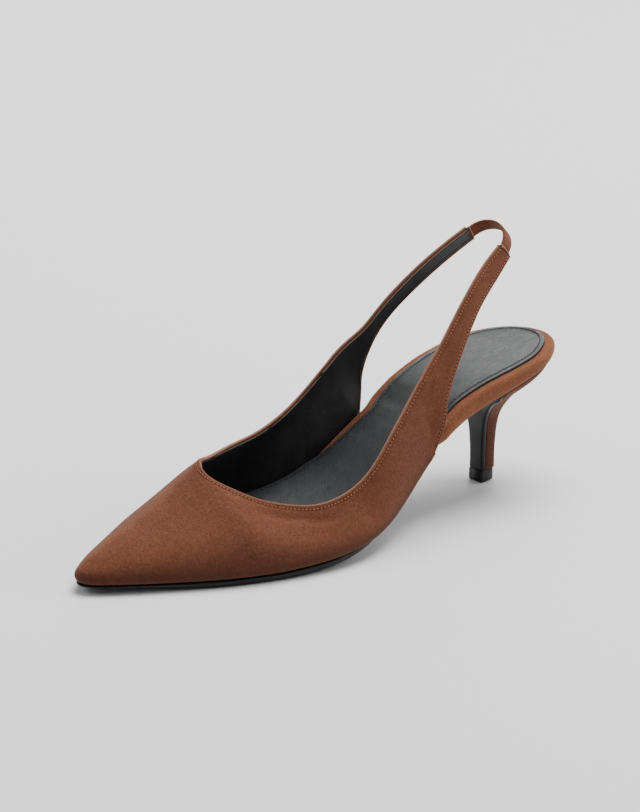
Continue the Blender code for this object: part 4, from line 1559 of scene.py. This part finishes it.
def sole_finish(name, roughness):
    """Black sole with fine ribs across and a little dust."""
    black = Finish(name, SOLE_BLACK, roughness, {"Specular IOR Level": 0.26})
    pattern = {"Scale": 620, "Distortion": 0.6, "Vector": black.where}
    ribs = black.node("ShaderNodeTexWave", pattern, wave_type="BANDS", bands_direction="Y")
    dust = black.noise(130, 4, 0.6, 0.4)
    fine = black.noise(1900, 2, 0.6)
    black.set("Base Color", black.layered(SOLE_BLACK, ((dust, 0.45, 0.8, 0.25, SOLE_DUSTY),)))
    black.set("Roughness", black.ranged(dust, 0.3, 0.7, roughness - 0.06, roughness + 0.12))
    black.bumped(((ribs.outputs["Fac"], 0.00005, 0.25), (fine, 0.00007, 0.4)))
    return black.material


def thread_finish(name, colour, roughness=0.6):
    """Twisted thread, also the raw cut edge of leather, the lining's pale edge that is partly a
    painted highlight, and the painted shade in needle holes.
    """
    thread = Finish(name, colour, roughness, {})
    twist = thread.noise(3200, 2, 0.6)
    dark = tuple(c * 0.7 for c in colour)
    thread.set("Base Color", thread.mixed(thread.ranged(twist, 0.3, 0.7), dark, colour))
    thread.bumped(((twist, 0.0001, 0.4),))
    return thread.material


def floor_finish():
    floor = Finish("floor_paper", FLOOR_GREY, 0.62, {"Specular IOR Level": 0.22})
    fine = floor.noise(420, 2, 0.6)
    floor.set("Roughness", floor.ranged(fine, 0.3, 0.7, 0.58, 0.66))
    return floor.material


# Where the shoe stands, and its light

def make_floor():
    half = 9.0
    corners = [(-half, -half, 0), (half, -half, 0), (half, half, 0), (-half, half, 0)]
    made = new_piece("floor", corners, [(0, 1, 2, 3)], [floor_finish()])
    made.location.z = -FLOOR_DROP


def area_light(name, place_at, aim, size, power):
    data = bpy.data.lights.new(name, "AREA")
    data.shape = "RECTANGLE"
    data.size, data.size_y = size
    data.energy = power
    made = bpy.data.objects.new(name, data)
    made.location = place_at
    made.rotation_euler = (Vector(aim) - Vector(place_at)).to_track_quat("-Z", "Y").to_euler()
    bpy.context.scene.collection.objects.link(made)


def make_light():
    world = bpy.data.worlds.new("studio")
    world.use_nodes = True
    background = world.node_tree.nodes["Background"]
    background.inputs["Color"].default_value = (*WORLD_GREY, 1)
    background.inputs["Strength"].default_value = WORLD_STRENGTH
    bpy.context.scene.world = world
    centre = (0.0, 0.0, 0.03)
    for name, place_at, size, power in SOFT_BOXES:
        area_light(name, place_at, centre, size, power)


# The whole shoe

def make_upper(hole_shade, dark_seams):
    """The pieces that share the upper's sheet: suede, lining and the stitches on both."""
    suede = suede_finish("upper_suede", SUEDE_BROWN, SUEDE_DARK, SUEDE_LIGHT, True)
    cut_leather = thread_finish("cut_leather", CUT_PALE, 0.85)
    lining = black_leather("lining_leather", LINING_BLACK, 0.44, 1100, 0.00012, 0.40)
    # The lining's pale cut edge, partly a painted highlight.
    lining_cut_and_highlight = thread_finish("lining_cut_and_highlight", LINING_CUT_AND_HIGHLIGHT, 0.8)
    seams = stitch_tree(thread_finish("brown_thread", THREAD_BROWN), hole_shade)
    sheet = Sheet()
    outside = make_upper_suede(sheet, suede, cut_leather)
    inside = make_upper_lining(sheet, lining, lining_cut_and_highlight)
    return outside, inside, *make_upper_seams(sheet, seams, dark_seams)


def make_shoe():
    strap_suede = suede_finish("strap_suede", SUEDE_BROWN, SUEDE_DARK, SUEDE_LIGHT, False)
    # The heel's cover takes a darker brown: painted shade.
    heel_suede = suede_finish("heel_suede", HEEL_SHADED_BROWN, SUEDE_SHADE, SUEDE_BROWN, False)
    rand_suede = suede_finish("rand_suede", RAND_BROWN, RAND_DARK, RAND_LIGHT, False)
    leather = black_leather("sock_leather", SOCK_BLACK, 0.42, 950, 0.00014, 0.34)
    # Painted shade in the needle holes at the stitches' ends.
    hole_shade = thread_finish("needle_hole_shade", HOLE_SHADE, 0.95)
    dark_seams = stitch_tree(thread_finish("black_thread", THREAD_BLACK, 0.5), hole_shade)

    upper, *rest_of_upper = make_upper(hole_shade, dark_seams)
    sizes = SOCK_STITCH_PITCH, SOCK_STITCH_THICK, DARK_STITCH_SINK
    sock_seam = make_stitches("sock_stitches", [sock_stitch_line()], dark_seams, *sizes)
    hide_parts("upper")
    elastic, ends = make_back_elastic(strap_suede)
    end_threads = make_strap_end_threads(ends, thread_finish("end_thread", THREAD_PALE))
    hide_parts("back_strap")
    insole = make_insole_wrap(rand_suede)
    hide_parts("insole")
    sock = make_sock(leather)
    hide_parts("sock")
    outsole = make_outsole(sole_finish("sole_black", 0.42))
    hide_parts("outsole")
    heel = make_heel_cover(heel_suede)
    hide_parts("heel")
    top_lift = make_top_lift(sole_finish("lift_black", 0.38))
    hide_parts("top_lift")
    slots = {
        "upper_suede": (upper, *rest_of_upper),
        "strap_suede": (elastic, end_threads),
        "insole_suede": (insole,),
        "sock_leather": (sock, sock_seam),
        "sole_black": (outsole,),
        "heel_suede": (heel,),
        "lift_black": (top_lift,),
    }
    for name, pieces in slots.items():
        for piece in pieces:
            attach(piece, "root")


make_shoe()
make_floor()
make_light()
main_camera()
bpy.context.view_layer.update()
